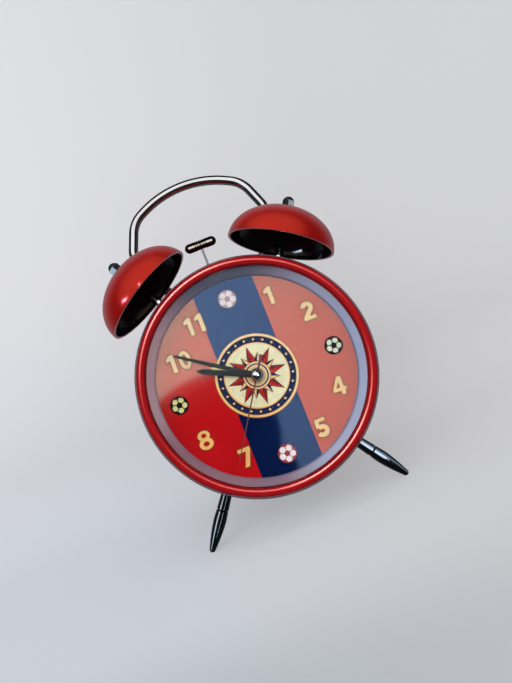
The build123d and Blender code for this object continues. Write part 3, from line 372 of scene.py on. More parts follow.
# By key: the material's name, two tones, metallic, range of roughness, scale of the pattern, and extras.
FINISHES = {
    "bell_out": ("bell_red_enamel", (0.46, 0.009, 0.006), (0.41, 0.007, 0.005), 0.5, (0.18, 0.26), 90.0,
                 {"grain": 0.003, "Coat_Weight": 0.45, "Coat_Roughness": 0.03, "Specular_IOR_Level": 0.2}),
    "bell_in": ("bell_black_inside", (0.004, 0.004, 0.005), (0.008, 0.007, 0.008), 0.0, (0.06, 0.10), 90.0,
                {"grain": 0.003, "Coat_Weight": 0.2, "Coat_Roughness": 0.04, "Specular_IOR_Level": 0.15}),
    "bell_rim": ("bell_rim_edge", (0.62, 0.30, 0.28), (0.50, 0.20, 0.20), 0.8, (0.2, 0.3), 90.0, {}),
    # The outline colour of chrome, handle, nut and feet is painted shade at their edges.
    "chrome": ("chrome_plate", (0.62, 0.65, 0.70), (0.55, 0.58, 0.64), 1.0, (0.05, 0.11), 200.0,
               {"grain": 0.003, "outline": (0.10, 0.12, 0.15)}),
    "handle": ("handle_chrome", (0.42, 0.42, 0.43), (0.37, 0.38, 0.40), 1.0, (0.06, 0.12), 200.0,
               {"grain": 0.003, "outline": (0.08, 0.09, 0.11)}),
    "nut": ("nut_chrome_blue", (0.50, 0.56, 0.62), (0.44, 0.50, 0.57), 1.0, (0.08, 0.16), 200.0,
            {"grain": 0.003, "outline": (0.04, 0.07, 0.09)}),
    "feet": ("foot_black_chrome", (0.12, 0.13, 0.15), (0.10, 0.11, 0.13), 1.0, (0.06, 0.12), 200.0,
             {"grain": 0.003, "outline": (0.02, 0.04, 0.05)}),
    "steel": ("zinc_steel_plate", (0.50, 0.51, 0.52), (0.42, 0.43, 0.45), 1.0, (0.26, 0.38), 200.0,
              {"grain": 0.008, "streak": (1.0, 1.0, 6.0)}),
    "hand_dark": ("hand_dark_enamel", (0.028, 0.026, 0.028), (0.020, 0.020, 0.022), 0.0, (0.3, 0.4), 300.0,
                  {"grain": 0.003, "Specular_IOR_Level": 0.1}),
    "hand_red": ("hand_red_enamel", (0.12, 0.004, 0.010), (0.09, 0.003, 0.008), 0.2, (0.3, 0.4), 300.0, {}),
    "hand_gold": ("hand_gold_enamel", (0.72, 0.50, 0.22), (0.62, 0.42, 0.18), 0.6, (0.26, 0.36), 300.0, {}),
    "gear": ("gear_acetal", (0.62, 0.62, 0.58), (0.56, 0.56, 0.53), 0.0, (0.34, 0.46), 300.0,
             {"grain": 0.006}),
    "magnet": ("magnet_ferrite", (0.05, 0.05, 0.055), (0.035, 0.035, 0.04), 0.2, (0.5, 0.65), 300.0,
               {"grain": 0.02}),
    "lamination": ("stator_steel", (0.36, 0.37, 0.39), (0.30, 0.31, 0.33), 1.0, (0.3, 0.42), 300.0,
                   {"grain": 0.01}),
    "copper": ("copper_winding", (0.62, 0.22, 0.09), (0.50, 0.16, 0.06), 0.9, (0.26, 0.4), 300.0,
               {"grain": 0.03, "streak": (14.0, 1.0, 1.0)}),
    "board": ("board_green", (0.012, 0.10, 0.035), (0.008, 0.07, 0.025), 0.0, (0.3, 0.42), 300.0,
              {"grain": 0.008}),
    "housing": ("housing_grey_plastic", (0.20, 0.20, 0.21), (0.17, 0.17, 0.18), 0.0, (0.4, 0.52), 260.0,
                {"grain": 0.02}),
    "cover": ("cover_black_plastic", (0.020, 0.020, 0.022), (0.015, 0.015, 0.017), 0.0, (0.42, 0.56), 260.0,
              {"grain": 0.04}),
    "knob": ("knob_grey_plastic", (0.16, 0.16, 0.17), (0.13, 0.13, 0.14), 0.0, (0.36, 0.48), 260.0,
             {"grain": 0.02}),
    "cell": ("cell_jacket", (0.05, 0.05, 0.055), (0.04, 0.04, 0.045), 0.3, (0.24, 0.34), 260.0,
             {"grain": 0.004}),
}

# By key: the material's name, its colour, and for some roughness, gloss and the tint of the reflections.
INKS = {
    "marks": ("back_marks", (0.62, 0.62, 0.60), 0.5),
    "gold": ("print_gold", (1.0, 0.52, 0.155), 0.14, 1.0, (0.26, 0.80, 0.95)),
    "cream": ("print_cream", (0.86, 0.76, 0.48), 0.14, 0.2),
    "navy": ("print_navy", (0.003, 0.010, 0.060)),
    "red": ("print_red", (0.50, 0.006, 0.010)),
    "white": ("print_white", (0.92, 0.83, 0.86)),
    "black": ("print_black", (0.006, 0.006, 0.008), 0.42, 0.03),
    "rose": ("print_rose", (0.36, 0.045, 0.055)),
    "brown": ("print_brown_pink", (0.46, 0.29, 0.29)),
    "outline": ("print_outline", (0.15, 0.040, 0.012), 0.42, 0.05),
    "dark_red": ("print_dark_red", (0.20, 0.004, 0.008)),
    "straw": ("print_straw", (0.76, 0.69, 0.28)),
    "pale": ("print_pale_cream", (0.80, 0.78, 0.62)),
}

paints = {"bezel": bezel_red(), "drum": drum_red(), "dial": dial_print(), "lens": lens_clear(),
          "surround": surround_lilac(), "hammer": hammer_paint(), "movement_front": movement_front_paint()}
paints.update({key: finish_of(*row[:-1], **row[-1]) for key, row in FINISHES.items()})
paints.update({key: printed(*row) for key, row in INKS.items()})

NODES_BY_PAINT = {
    "movement_front": ["movement_front"],
    "bezel": ["front_bezel"],
    "drum": ["case_drum"],
    "dial": ["dial_plate"],
    "lens": ["lens"],
    "surround": ["dial_surround"],
    "chrome": ["bell_posts", "centre_cap"],
    "handle": ["handle"],
    "nut": ["bell_cap_nuts"],
    "hammer": ["hammer_head"],
    "feet": ["right_foot", "left_foot"],
    "steel": ["handle_screws", "bell_inner_nuts", "foot_nuts", "hammer_rod", "hammer_arm", "hammer_pivot_pin",
              "hammer_bracket", "hammer_motor", "motor_crank", "cover_screws", "battery_contacts"],
    "hand_dark": ["hour_hand", "minute_hand"],
    "hand_red": ["second_hand"],
    "hand_gold": ["alarm_hand"],
    "gear": ["alarm_wheel", "hour_wheel", "minute_arbor", "second_arbor", "minute_wheel", "alarm_pinion",
             "third_wheel", "intermediate_wheel"],
    "magnet": ["rotor"],
    "lamination": ["stator"],
    "copper": ["coil"],
    "board": ["circuit_board"],
    "housing": ["movement_bridge", "movement_rear"],
    "cover": ["back_cover", "battery_door", "switch_housing"],
    "knob": ["time_knob", "alarm_knob", "alarm_switch"],
    "cell": ["battery"],
}
for key, names in NODES_BY_PAINT.items():
    for name in names:
        slots = nodes[name].data.materials
        slots.clear()
        slots.append(paints[key])


def paint_bell(name, side):
    """Enamel outside, black inside, and bare metal along the rim."""
    angle = math.radians(BELL_ANGLE)
    outward = (across * side * math.sin(angle) + up * math.cos(angle)).normalized()
    mouth = start + outward * BELL_MOUTH * MM + depth * BELL_DEPTH * MM
    mesh = nodes[name].data
    mesh.materials.clear()
    for key in ("bell_out", "bell_in", "bell_rim"):
        mesh.materials.append(paints[key])
    for face in mesh.polygons:
        reach = face.center - mouth
        face.material_index = 0 if face.normal.dot(reach.normalized()) > 0.0 else 1
        if face.normal.dot(outward) < -RIM_FACING and reach.dot(outward) / MM < RIM_HEIGHT:
            face.material_index = 2


paint_bell("right_bell", 1.0)
paint_bell("left_bell", -1.0)


def area(loop):
    """The area inside an outline, below zero when it runs clockwise."""
    return sum(a[0] * b[1] - b[0] * a[1] for a, b in zip(loop, loop[1:] + loop[:1])) / 2


def add_piece(name, mesh, keys):
    """Put a printed mesh on the case."""
    for key in keys:
        mesh.materials.append(paints[key])
    made = bpy.data.objects.new(name, mesh)
    bpy.context.scene.collection.objects.link(made)
    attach(made, "case")


def solid(name, parts, depths, keys):
    """Flat plates [(outline and its holes, paint, lift)] between two depths. Each is raised by its lift."""
    front, back = depths
    bm = bmesh.new()
    for loops, key, lift in parts:
        loops = [loop if area(loop) > 0 else loop[::-1] for loop in loops]
        points = [point for loop in loops for point in loop]
        rings = [[bm.verts.new((x, y, z)) for x, z in points] for y in (front - lift, back)]
        faces = []
        for triple in tessellate_polygon([[Vector((x, z, 0.0)) for x, z in loop] for loop in loops]):
            faces += [bm.faces.new([ring[i] for i in triple]) for ring in rings]
        first = 0
        for loop in loops:
            for i in range(len(loop)):
                here, after = first + i, first + (i + 1) % len(loop)
                faces.append(bm.faces.new((rings[0][here], rings[0][after], rings[1][after], rings[1][here])))
            first += len(loop)
        for face in faces:
            face.material_index = keys.index(key)
    bmesh.ops.recalc_face_normals(bm, faces=bm.faces)
    bm.transform(place)
    mesh = bpy.data.meshes.new(name)
    bm.to_mesh(mesh)
    bm.free()
    add_piece(name, mesh, keys)


def circle(x, z, radius, count=48):
    turns = [2 * math.pi * i / count for i in range(count)]
    return [(x + radius * math.cos(a), z + radius * math.sin(a)) for a in turns]


def bow(x, z, across_radius, up_radius, start_at, end_at, count=18):
    """Points along a part of an oval."""
    turns = [math.radians(start_at + (end_at - start_at) * i / count) for i in range(count + 1)]
    return [(x + across_radius * math.cos(a), z + up_radius * math.sin(a)) for a in turns]


def oval(x, z, across_radius, up_radius):
    return bow(x, z, across_radius, up_radius, 0, 350, 35)


def moved(points, x, z, angle=0.0, scale=1.0):
    """The points scaled, then turned by an angle in radians, then moved."""
    c, s = math.cos(angle), math.sin(angle)
    return [(x + scale * (px * c - pz * s), z + scale * (px * s + pz * c)) for px, pz in points]


def ribbon(points, width):
    """Outline of a stroke with square ends along a line of points."""
    sides = [[], []]
    for i, (x, z) in enumerate(points):
        ways = [(points[k + 1][0] - points[k][0], points[k + 1][1] - points[k][1])
                for k in (i - 1, i) if 0 <= k < len(points) - 1]
        dx = sum(w[0] / math.hypot(*w) for w in ways)
        dz = sum(w[1] / math.hypot(*w) for w in ways)
        run = math.hypot(dx, dz)
        reach = width / (run / len(ways)) / 2
        for side, way in zip(sides, (1.0, -1.0)):
            side.append((x - dz / run * reach * way, z + dx / run * reach * way))
    return sides[0] + sides[1][::-1]


def grown(loop, by):
    """The outline moved outwards by a small distance, or inwards for a hole."""
    if area(loop) < 0:
        loop = loop[::-1]
    made = []
    for before, here, after in zip(loop[-1:] + loop[:-1], loop, loop[1:] + loop[:1]):
        ways = [(here[0] - before[0], here[1] - before[1]), (after[0] - here[0], after[1] - here[1])]
        nx = sum(w[1] / math.hypot(*w) for w in ways)
        nz = -sum(w[0] / math.hypot(*w) for w in ways)
        scale = 2.0 / max(nx * nx + nz * nz, 1.0)
        made.append((here[0] + nx * scale * by, here[1] + nz * scale * by))
    return made


def on_ring(hour):
    """The place of an hour's marker on the dial."""
    a = math.radians(hour * 30.0)
    return MARK_RING * math.sin(a), MARK_RING * math.cos(a)


def ball(hour, panel_key, plate_key, wide=0.30, long=0.265, middle=0.56):
    """A ball marker: a round plate with five rounded panels about a five-sided spot.
    The size and place of a panel are shares of the ball's radius."""
    x, z = on_ring(hour)
    parts = [([circle(x, z, BALL_RADIUS)], plate_key, 0.0)]
    panel = []
    for px, pz in circle(0.0, 0.0, 1.0, 24):
        squash = 1.0 - 0.10 * math.cos(6.0 * math.atan2(pz, px))
        panel.append((middle + long * px * squash, wide * pz * squash))
    seam = ribbon([(0.36, 0.0), (0.93, 0.0)], 0.05)
    panel_lift, seam_lift = 0.05, 0.03
    for k in range(5):
        turned = math.radians(126 + 72 * k)
        parts.append(([moved(panel, x, z, turned, BALL_RADIUS)], panel_key, panel_lift))
        parts.append(([moved(seam, x, z, turned + math.radians(36), BALL_RADIUS)], plate_key, seam_lift))
    solid(f"marker_ball_{hour}", parts, BALL_PRINT, (panel_key, plate_key))


ball(12, "white", "brown", 0.345, 0.325, 0.60)
ball(3, "pale", "black")
ball(6, "white", "rose", 0.335, 0.315, 0.59)
ball(9, "straw", "black")

# The strokes of each figure, each an outline with its holes.
FIGURES = {
    "0": [[oval(0, 0, 2.65, 4.0), oval(0, 0, 0.95, 2.3)]],
    "1": [[[(1.0, 4.0), (1.0, -4.0), (-0.85, -4.0), (-0.85, 1.75), (-2.4, 1.2), (-2.4, 2.7), (-0.5, 4.0)]]],
    "2": [[ribbon(bow(0, 1.45, 1.75, 1.68, 172, -28) + [(-1.5, -2.5), (-2.0, -3.2)], STROKE)],
          [[(-2.8, -2.4), (2.75, -2.4), (2.75, -4.0), (-2.8, -4.0)]]],
    "4": [[[(0.2, 4.0), (2.0, 4.0), (2.0, -0.8), (3.0, -0.8), (3.0, -2.25), (2.0, -2.25), (2.0, -4.0),
            (0.3, -4.0), (0.3, -2.25), (-3.0, -2.25), (-3.0, -0.9)],
           [(0.3, 1.7), (0.3, -0.8), (-1.4, -0.8)]]],
    "5": [[[(-2.1, 4.0), (2.35, 4.0), (2.35, 2.45), (-0.6, 2.45), (-0.75, 0.6), (-2.5, -0.1)]],
          [ribbon(bow(-0.15, -1.35, 1.95, 1.78, 132, -158), STROKE)]],
    "7": [[[(-2.7, 4.0), (2.7, 4.0), (2.7, 2.75), (0.2, -4.0), (-1.8, -4.0), (0.65, 2.4), (-2.7, 2.4)]]],
    "8": [[oval(0, 1.9, 2.65, 2.15), oval(0, 1.95, 1.15, 0.9)],
          [oval(0, -1.6, 3.05, 2.5), oval(0, -1.65, 1.3, 1.05)]],
}
# By hour: each figure with its shift across and up from the hour's marker.
NUMERALS = {
    1: [("1", 0.3, -0.5)],
    2: [("2", 0.0, 0.3)],
    4: [("4", 0.3, 0.8)],
    5: [("5", 0.0, 0.0)],
    7: [("7", 1.0, 0.0)],
    8: [("8", 0.3, 0.0)],
    10: [("1", -1.1, -0.2), ("0", 4.6, -0.4)],
    11: [("1", -1.6, -0.8), ("1", 3.8, -0.7)],
}


def numeral(hour, layout):
    """Gold figures, each on a darker one that shows as its outline. Each stroke lies over the one before."""
    x, z = on_ring(hour)
    gold_lift, stroke_lift = 0.05, 0.004
    parts = []
    for figure, aside, over in layout:
        for step, loops in enumerate(FIGURES[figure]):
            for key, by, lift in (("outline", FIGURE_OUTLINE, 0.0), ("gold", 0.0, gold_lift)):
                shape = [grown(loop, by if n == 0 else -by) for n, loop in enumerate(loops)]
                shape = [moved(loop, x + aside, z + over, 0.0, FIGURE_SCALE) for loop in shape]
                parts.append((shape, key, lift + stroke_lift * step))
    solid(f"numeral_{hour}", parts, FIGURE_PRINT, ("gold", "outline"))


for hour, layout in NUMERALS.items():
    numeral(hour, layout)


# Round plates of the sunburst, from the lowest up: radius, paint and lift.
PLATES = ((19.6, "outline", 0.0), (19.3, "gold", 0.02), (18.2, "outline", 0.03), (17.95, "navy", 0.04),
          (15.4, "outline", 0.05), (15.2, "gold", 0.06), (14.5, "cream", 0.08))
HUB_PLATES = ((6.6, "outline", 0.14), (6.35, "gold", 0.15), (5.5, "navy", 0.16), (4.9, "gold", 0.17))
# Its rays, by turns: length, half width, and the paints of their right and left half.
RAYS = ((13.9, 2.2, "red", "dark_red"), (10.6, 1.7, "gold", "navy"))


def medallion():
    """A plain sunburst on a round plate fills the middle of the dial."""
    hub_hole, bead_ring, bead_radius, bead_lift = 3.75, 16.68, 0.5, 0.07
    beads, rays = 24, 16
    edge_lift, half_lift, ray_step = 0.09, 0.11, 0.01
    hole = circle(0, 0, hub_hole)
    parts = [([circle(0, 0, radius, 128), hole], key, lift) for radius, key, lift in PLATES]
    for k in range(beads):
        a = 2 * math.pi * k / beads
        bead = circle(bead_ring * math.sin(a), bead_ring * math.cos(a), bead_radius, 16)
        parts.append(([bead], "gold", bead_lift))
    for k in range(rays):
        a = 2 * math.pi * k / rays
        reach, wide, light, dark = RAYS[k % 2]
        edge = [(0.0, reach + 0.3), (wide + 0.2, 6.4), (0.0, 4.6), (-wide - 0.2, 6.4)]
        parts.append(([moved(edge, 0, 0, -a)], "outline", edge_lift + ray_step * (k % 2)))
        for side, key in ((1.0, light), (-1.0, dark)):
            half = [(0.0, reach - 0.3), (side * wide * 0.86, 6.5), (0.0, 4.8)]
            parts.append(([moved(half, 0, 0, -a)], key, half_lift + ray_step * (k % 2)))
    parts += [([circle(0, 0, radius, 64), hole], key, lift) for radius, key, lift in HUB_PLATES]
    keys = ("gold", "cream", "red", "navy", "outline", "dark_red")
    solid("dial_medallion", parts, SUNBURST_PRINT, keys)


medallion()


def arrow(name, x, start_at, end_at):
    """A curved arrow round a knob on the back."""
    radius, half_width, head_half_width, head_length = 8.6, 0.35, 1.19, 2.6
    outer = bow(x, 0.0, radius + half_width, radius + half_width, start_at, end_at, 14)
    inner = bow(x, 0.0, radius - half_width, radius - half_width, start_at, end_at, 14)
    end = math.radians(end_at)
    corners = ((radius + head_half_width, end), (radius, end + head_length / radius),
               (radius - head_half_width, end))
    head = [(x + r * math.cos(a), r * math.sin(a)) for r, a in corners]
    parts = [([outer + inner[::-1]], "marks", 0.0), ([head], "marks", 0.0)]
    solid(name, parts, BACK_PRINT, ("marks",))


def words(name, text, x):
    """Raised letters below the switch, read from the back."""
    z, size, weight = 18.2, 3.0, 0.05
    front, back = BACK_PRINT
    curve = bpy.data.curves.new(name, "FONT")
    curve.body = text
    curve.size = size
    curve.offset = weight
    curve.extrude = (back - front) / 2
    curve.resolution_u = 6
    holder = bpy.data.objects.new(name + "_text", curve)
    bpy.context.scene.collection.objects.link(holder)
    bpy.context.view_layer.update()
    mesh = bpy.data.meshes.new_from_object(holder.evaluated_get(bpy.context.evaluated_depsgraph_get()))
    bpy.data.objects.remove(holder)
    xs = [v.co.x for v in mesh.vertices]
    ys = [v.co.y for v in mesh.vertices]
    centre = Vector(((min(xs) + max(xs)) / 2, (min(ys) + max(ys)) / 2, 0.0))
    seen_from_behind = Matrix(((-1.0, 0.0, 0.0), (0.0, 0.0, 1.0), (0.0, 1.0, 0.0))).to_4x4()
    shift = Matrix.Translation((x, (front + back) / 2, z))
    mesh.transform(place @ shift @ seen_from_behind @ Matrix.Translation(-centre))
    mesh.name = name
    mesh.materials.clear()
    add_piece(name, mesh, ("marks",))


arrow("time_arrow", 12.0, 30, 120)
arrow("alarm_arrow", -12.0, 60, 150)
words("switch_on", "ON", 31.3)
words("switch_off", "OFF", 22.6)


def backdrop_paint():
    """Pale grey lilac, seen only from the side that faces the clock. Half of what the camera sees is a light
    of its own, so that the lamps shade it less. That light is painted brighter high on the left, with a low
    band of painted shade, darkest to the lower left."""
    p = Paint("backdrop_pale")
    wall = p.mix(p.uneven(p.noise(6.0)), (0.54, 0.545, 0.56), (0.52, 0.525, 0.54))
    above_floor = p.dot(p.coord, (0.0, 0.0, 1.0))
    matte = p.node("ShaderNodeBsdfDiffuse")
    p.put(matte.inputs["Color"], p.mix(p.ramp(above_floor, -0.02, 0.09), (0.375, 0.39, 0.415), wall))
    height = p.along(up)
    side = p.ramp(p.along(across), -120.0, 120.0)
    # Painted light and shade in the backdrop's own light: brighter high on the left, darker in a low band.
    left = p.mix(p.ramp(height, -120.0, 110.0), (0.66, 0.71, 0.80), (0.86, 0.86, 0.90))
    right = p.mix(p.ramp(height, -120.0, 150.0), (0.73, 0.71, 0.70), (0.70, 0.70, 0.69))
    painted_shade_low = p.mix(side, (0.34, 0.40, 0.46), (0.56, 0.57, 0.58))
    own = p.node("ShaderNodeEmission")
    p.put(own.inputs["Color"], p.mix(p.ramp(height, -99.0, -79.0), painted_shade_low, p.mix(side, left, right)))
    camera_share = p.maths("MULTIPLY", p.node("ShaderNodeLightPath").outputs["Is Camera Ray"], 0.5)
    lit = p.blend(camera_share, matte.outputs["BSDF"], own.outputs["Emission"])
    clear = p.node("ShaderNodeBsdfTransparent")
    behind = p.node("ShaderNodeNewGeometry").outputs["Backfacing"]
    return p.finished(p.blend(behind, lit, clear.outputs["BSDF"]))


def backdrop():
    """One seamless sheet, in metres: a floor in front, a round turn, and a wall that leans with the clock."""
    half_width, floor_reach, wall_reach, turn_radius, gap, steps = 3.0, 3.0, 2.5, 0.05, 0.004, 16
    behind_clock = cad_box[1].y + gap
    bend = math.pi / 2 - math.atan2(-depth.z, depth.y)
    begin = behind_clock - turn_radius * math.tan(bend / 2)
    profile = [(-floor_reach, 0.0)]
    for i in range(steps + 1):
        a = bend * i / steps
        profile.append((begin + turn_radius * math.sin(a), turn_radius * (1 - math.cos(a))))
    y, z = profile[-1]
    profile.append((y + wall_reach * math.cos(bend), z + wall_reach * math.sin(bend)))
    verts = [(x, y, z) for y, z in profile for x in (-half_width, half_width)]
    faces = [(2 * i, 2 * i + 1, 2 * i + 3, 2 * i + 2) for i in range(len(profile) - 1)]
    mesh = bpy.data.meshes.new("backdrop")
    mesh.from_pydata(verts, [], faces)
    for face in mesh.polygons:
        face.use_smooth = True
    mesh.materials.append(backdrop_paint())
    made = bpy.data.objects.new("backdrop", mesh)
    bpy.context.scene.collection.objects.link(made)
    made.visible_glossy = False


backdrop()


class Glow(ShaderNodes):
    """The light of an area lamp, by the place on the lamp."""

    def __init__(self, data):
        data.use_nodes = True
        super().__init__(data.node_tree)
        self.coord = self.node("ShaderNodeNewGeometry").outputs["Position"]
        self.light = self.node("ShaderNodeEmission")
        self.put(self.node("ShaderNodeOutputLight").inputs["Surface"], self.light.outputs["Emission"])

    def past_curve(self, height, run, stop, middle, bend):
        """How far a place lies past a parabola round the middle of its run. It is level before the stop."""
        away = self.maths("SUBTRACT", self.maths("MAXIMUM", run, stop), middle)
        return self.maths("ADD", height, self.maths("MULTIPLY", self.maths("MULTIPLY", away, away), bend))


def area_lamp(name, size, power, colour):
    """A flat lamp, with its size in metres and its power in watts."""
    data = bpy.data.lights.new(name, "AREA")
    data.shape = "RECTANGLE"
    data.size, data.size_y = size
    data.energy = power
    data.color = colour
    made = bpy.data.objects.new(name, data)
    bpy.context.scene.collection.objects.link(made)
    return made


def lamp(name, at, size, power, colour):
    """A lamp that lights every piece and the backdrop, and shows in no reflection."""
    aim = Vector((0.0, 0.0, 0.07))
    made = area_lamp(name, size, power, colour)
    made.location = at
    made.rotation_euler = (aim - Vector(at)).to_track_quat("-Z", "Y").to_euler()
    made.visible_glossy = False


def mirror_lamp(name, centre, axes, size, level, colour, names):
    """A lamp that shows only in the reflections of some pieces. The caller sets the strength of its light."""
    made = area_lamp(name, size, level * math.pi * size[0] * size[1], colour)
    made.matrix_world = Matrix.Translation(centre) @ Matrix(axes).transposed().to_4x4()
    made.visible_camera = False
    made.visible_diffuse = False
    made.visible_transmission = False
    group = bpy.data.collections.new(name + "_pieces")
    for piece in names:
        group.objects.link(bpy.data.objects[piece])
    made.light_linking.receiver_collection = group
    return Glow(made.data)


def window(names):
    """A window high in front of the clock, which lies as a reflection on the lens and on what is under it.
    Two curved edges leave the lower left clear."""
    before_dial, width, level = 620.0, 660.0, 3.1
    centre = place @ Vector((0.0, -before_dial, 30.0))
    size = (width * MM, width * MM)
    p = mirror_lamp("window", centre, (-across, up, -depth), size, level, (0.78, 0.97, 1.0), names)
    x = p.along(across)
    z = p.along(up)
    past_left = p.past_curve(z, x, -134.0, -75.0, 0.00343)
    past_low = p.past_curve(x, z, -75.0, -25.0, 0.0045)
    past_low = p.maths("SUBTRACT", past_low, p.ramp(z, -92.0, -80.0, 12.0, 0.0))
    over_left = p.maths("MAXIMUM", p.ramp(past_left, 0.0, 54.0, 0.0, 0.06), p.ramp(past_left, 51.0, 60.0))
    shown = p.maths("MAXIMUM", p.ramp(past_low, 16.0, 22.0), over_left)
    fall = p.ramp(p.maths("SUBTRACT", z, x), -260.0, 330.0, 0.85, 1.45)
    p.put(p.light.inputs["Strength"], p.maths("MULTIPLY", shown, fall))


def softbox(name, side, tilt, spread, level, colour, names, soft):
    """A lamp towards a side of the dial (0 right, 90 up), tilted by an angle from straight in front of it.
    It spreads over two angles, and fades over the soft share of each half. Its distance is in metres."""
    distance = 1.2
    turned, tipped = math.radians(side), math.radians(tilt)
    outward = across * math.cos(turned) + up * math.sin(turned)
    way = outward * math.sin(tipped) - depth * math.cos(tipped)
    rise = outward * math.cos(tipped) + depth * math.sin(tipped)
    flat = rise.cross(way)
    size = [2.0 * distance * math.tan(math.radians(angle) / 2.0) for angle in spread]
    p = mirror_lamp(name, start + way * distance, (flat, rise, way), size, level, colour, names)
    fades = []
    for axis, length in zip((flat, rise), size):
        edge = length / MM / 2.0
        fades.append(p.ramp(p.maths("ABSOLUTE", p.along(axis)), edge * (1.0 - soft), edge, 1.0, 0.0))
    p.put(p.light.inputs["Strength"], p.maths("MULTIPLY", *fades))


print_names = ("marker_ball", "numeral_", "dial_medallion")
prints = [o.name for o in bpy.data.objects if o.name.startswith(print_names)]
under_glass = ["lens", "dial_plate", "dial_surround", "hour_hand", "minute_hand", "second_hand", "alarm_hand",
               "centre_cap"] + prints
nuts = ["bell_cap_nuts"]
bells = ["left_bell", "right_bell"]
bezel = ["front_bezel"]
# All but these pieces share the lamp shine_metal.
apart = under_glass + nuts + bells + bezel + ["handle", "case_drum", "right_foot", "left_foot", "hammer_head",
                                              "hammer_rod"]
rest = [name for name in nodes if name not in apart]

CLEAN = (1.0, 0.985, 0.97)
WARM = (1.0, 0.96, 0.90)
COOL = (0.86, 0.94, 1.0)
# Name, side, tilt, spread, level, colour, pieces, and the share that fades. Blue and green tints keep the
# shine on red pieces pale, because their paint is part metallic and reddens it.
SOFTBOXES = (
    ("shine_handle", 98.0, 30.0, (70.0, 66.0), 2.0, CLEAN, ["handle"], 0.12),
    ("shine_metal", 98.0, 30.0, (64.0, 110.0), 1.45, CLEAN, rest, 0.08),
    ("shine_posts", 115.0, 24.0, (80.0, 80.0), 1.4, WARM, ["bell_posts"], 0.1),
    ("shine_cap", 127.0, 52.0, (70.0, 50.0), 1.5, WARM, ["centre_cap"], 0.2),
    ("shine_bells", 92.0, 36.0, (140.0, 130.0), 0.90, (1.0, 0.74, 0.45), bells, 0.95),
    ("shine_bell_spot", 169.0, 53.0, (10.0, 20.0), 44.0, (0.45, 0.72, 1.0), ["left_bell"], 0.8),
    ("shine_bell_dot", 113.0, 24.0, (5.0, 7.0), 26.0, (0.50, 0.80, 0.80), ["left_bell"], 0.5),
    ("shine_bell_inside", 176.0, 52.0, (20.0, 44.0), 50.0, (0.55, 0.75, 1.0), ["right_bell"], 0.9),
    ("shine_bezel", 96.0, 22.0, (78.0, 40.0), 1.7, (1.0, 0.84, 0.68), bezel, 0.7),
    ("shine_bezel_line", 96.0, 24.0, (76.0, 2.5), 11.0, (0.55, 0.80, 0.72), bezel, 0.7),
    ("shine_bezel_spot", 110.0, 40.0, (44.0, 14.0), 22.0, (0.42, 0.85, 0.80), bezel, 0.7),
    ("shine_bezel_low", 113.0, 26.0, (54.0, 32.0), 3.2, (0.55, 0.90, 0.75), bezel, 0.8),
    ("shine_foot_right", 32.0, 19.0, (44.0, 50.0), 7.0, COOL, ["right_foot"], 0.12),
    ("shine_foot_right_band", 32.0, 62.0, (130.0, 40.0), 1.6, (0.70, 0.90, 1.0), ["right_foot"], 0.3),
    ("shine_foot_left", 146.0, 48.0, (90.0, 30.0), 4.2, COOL, ["left_foot"], 0.5),
    ("shine_foot_line", -34.0, 23.0, (60.0, 4.0), 6.0, COOL, ["left_foot"], 0.2),
    ("shine_rod", 90.0, 8.0, (70.0, 62.0), 1.2, WARM, ["hammer_rod"], 0.2),
    ("shine_hammer", 90.0, 8.0, (70.0, 62.0), 13.0, WARM, ["hammer_head"], 0.6),
    ("shine_nut_right", -11.0, 62.0, (30.0, 30.0), 0.55, (1.0, 0.95, 0.95), nuts, 0.1),
    ("shine_nut_left", -168.0, 60.0, (30.0, 30.0), 0.95, (0.80, 0.95, 1.0), nuts, 0.1),
    ("shine_nut_top", 90.0, 60.0, (36.0, 40.0), 0.12, COOL, nuts, 0.2),
)
window(under_glass)
for row in SOFTBOXES:
    softbox(*row)

# Name, place and size in metres, power in watts, colour.
LAMPS = (
    ("key", (-0.7, -0.95, 0.9), (1.3, 1.3), 12.0, (1.0, 0.985, 0.96)),
    ("fill", (0.9, -1.0, 0.4), (0.9, 0.9), 4.5, (0.93, 0.96, 1.0)),
    ("top", (0.0, 0.3, 1.2), (0.9, 0.5), 5.0, (1.0, 1.0, 1.0)),
    ("back", (0.3, 1.2, 0.7), (0.8, 0.8), 5.0, (1.0, 1.0, 1.0)),
)
for row in LAMPS:
    lamp(*row)

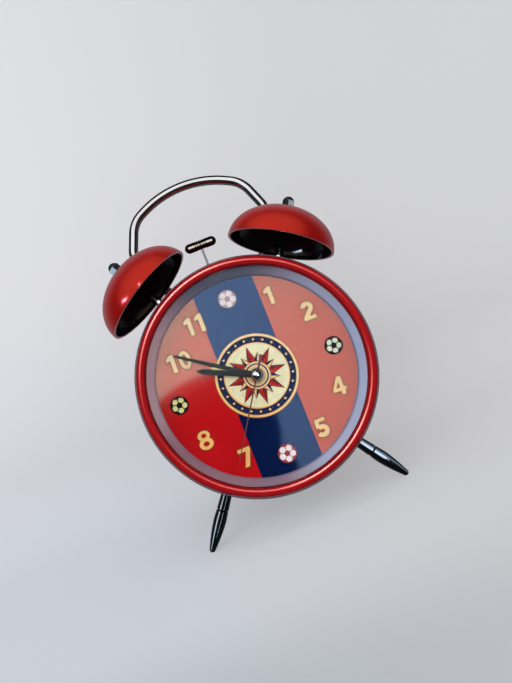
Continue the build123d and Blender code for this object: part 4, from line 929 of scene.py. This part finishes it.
# The photograph's view on the clock's own axes: its turn as a rotation vector in radians, and its place.
VIEW_TURN = Vector((-0.0975, -0.3719, 0.0172))
VIEW_FROM = Vector((-5.165, -289.20, -13.017))
view_right, view_ahead, view_up = Matrix.Rotation(VIEW_TURN.length, 3, VIEW_TURN.normalized())


class Sky(ShaderNodes):
    """The light from far away, by its direction."""

    def __init__(self, name):
        world = bpy.data.worlds.new(name)
        bpy.context.scene.world = world
        world.use_nodes = True
        super().__init__(world.node_tree)
        self.way = self.node("ShaderNodeTexCoord").outputs["Generated"]
        self.path = self.node("ShaderNodeLightPath")

    def towards(self, direction, low, high):
        return self.ramp(self.dot(self.way, direction), low, high)

    def finish(self, colour):
        ground = self.node("ShaderNodeBackground")
        self.put(ground.inputs["Color"], colour)
        ground.inputs["Strength"].default_value = 1.0
        self.put(self.node("ShaderNodeOutputWorld").inputs["Surface"], ground.outputs["Background"])


def studio():
    """The light of a plain room: bright above, grey behind the clock and dark below. Reflections see a darker
    room, palest behind the clock, and the camera sees an even pale grey."""
    p = Sky("studio")
    above = turn @ (view_up - view_right * 0.35).normalized()
    room = p.mix(p.towards(above, -0.10, 0.35), (0.04, 0.035, 0.035), (0.88, 0.89, 0.93))
    room = p.mix(p.towards(depth, 0.05, 0.45), room, (0.55, 0.56, 0.60))
    mirrored = p.mix(p.towards(depth, -0.05, 0.6), (0.035, 0.032, 0.034), (0.27, 0.27, 0.30))
    lit = p.mix(p.path.outputs["Is Glossy Ray"], room, mirrored)
    p.finish(p.mix(p.path.outputs["Is Camera Ray"], lit, (0.60, 0.61, 0.65)))


studio()


def camera():
    """The photograph's view: almost straight at the dial, rolled so that 12 o'clock leans left."""
    focal_px = 652.2
    long_side_px = 683.0
    data = bpy.data.cameras.new("camera")
    data.sensor_width = 36.0
    data.lens = focal_px / long_side_px * data.sensor_width
    data.clip_start, data.clip_end = 0.01, 50.0
    made = bpy.data.objects.new("camera", data)
    bpy.context.scene.collection.objects.link(made)
    axes = Matrix((view_right, view_up, -view_ahead)).transposed()
    made.matrix_world = Matrix.Translation(place @ VIEW_FROM) @ (turn @ axes).to_4x4()
    bpy.context.scene.camera = made


camera()
bpy.context.scene.view_settings.view_transform = "Standard"
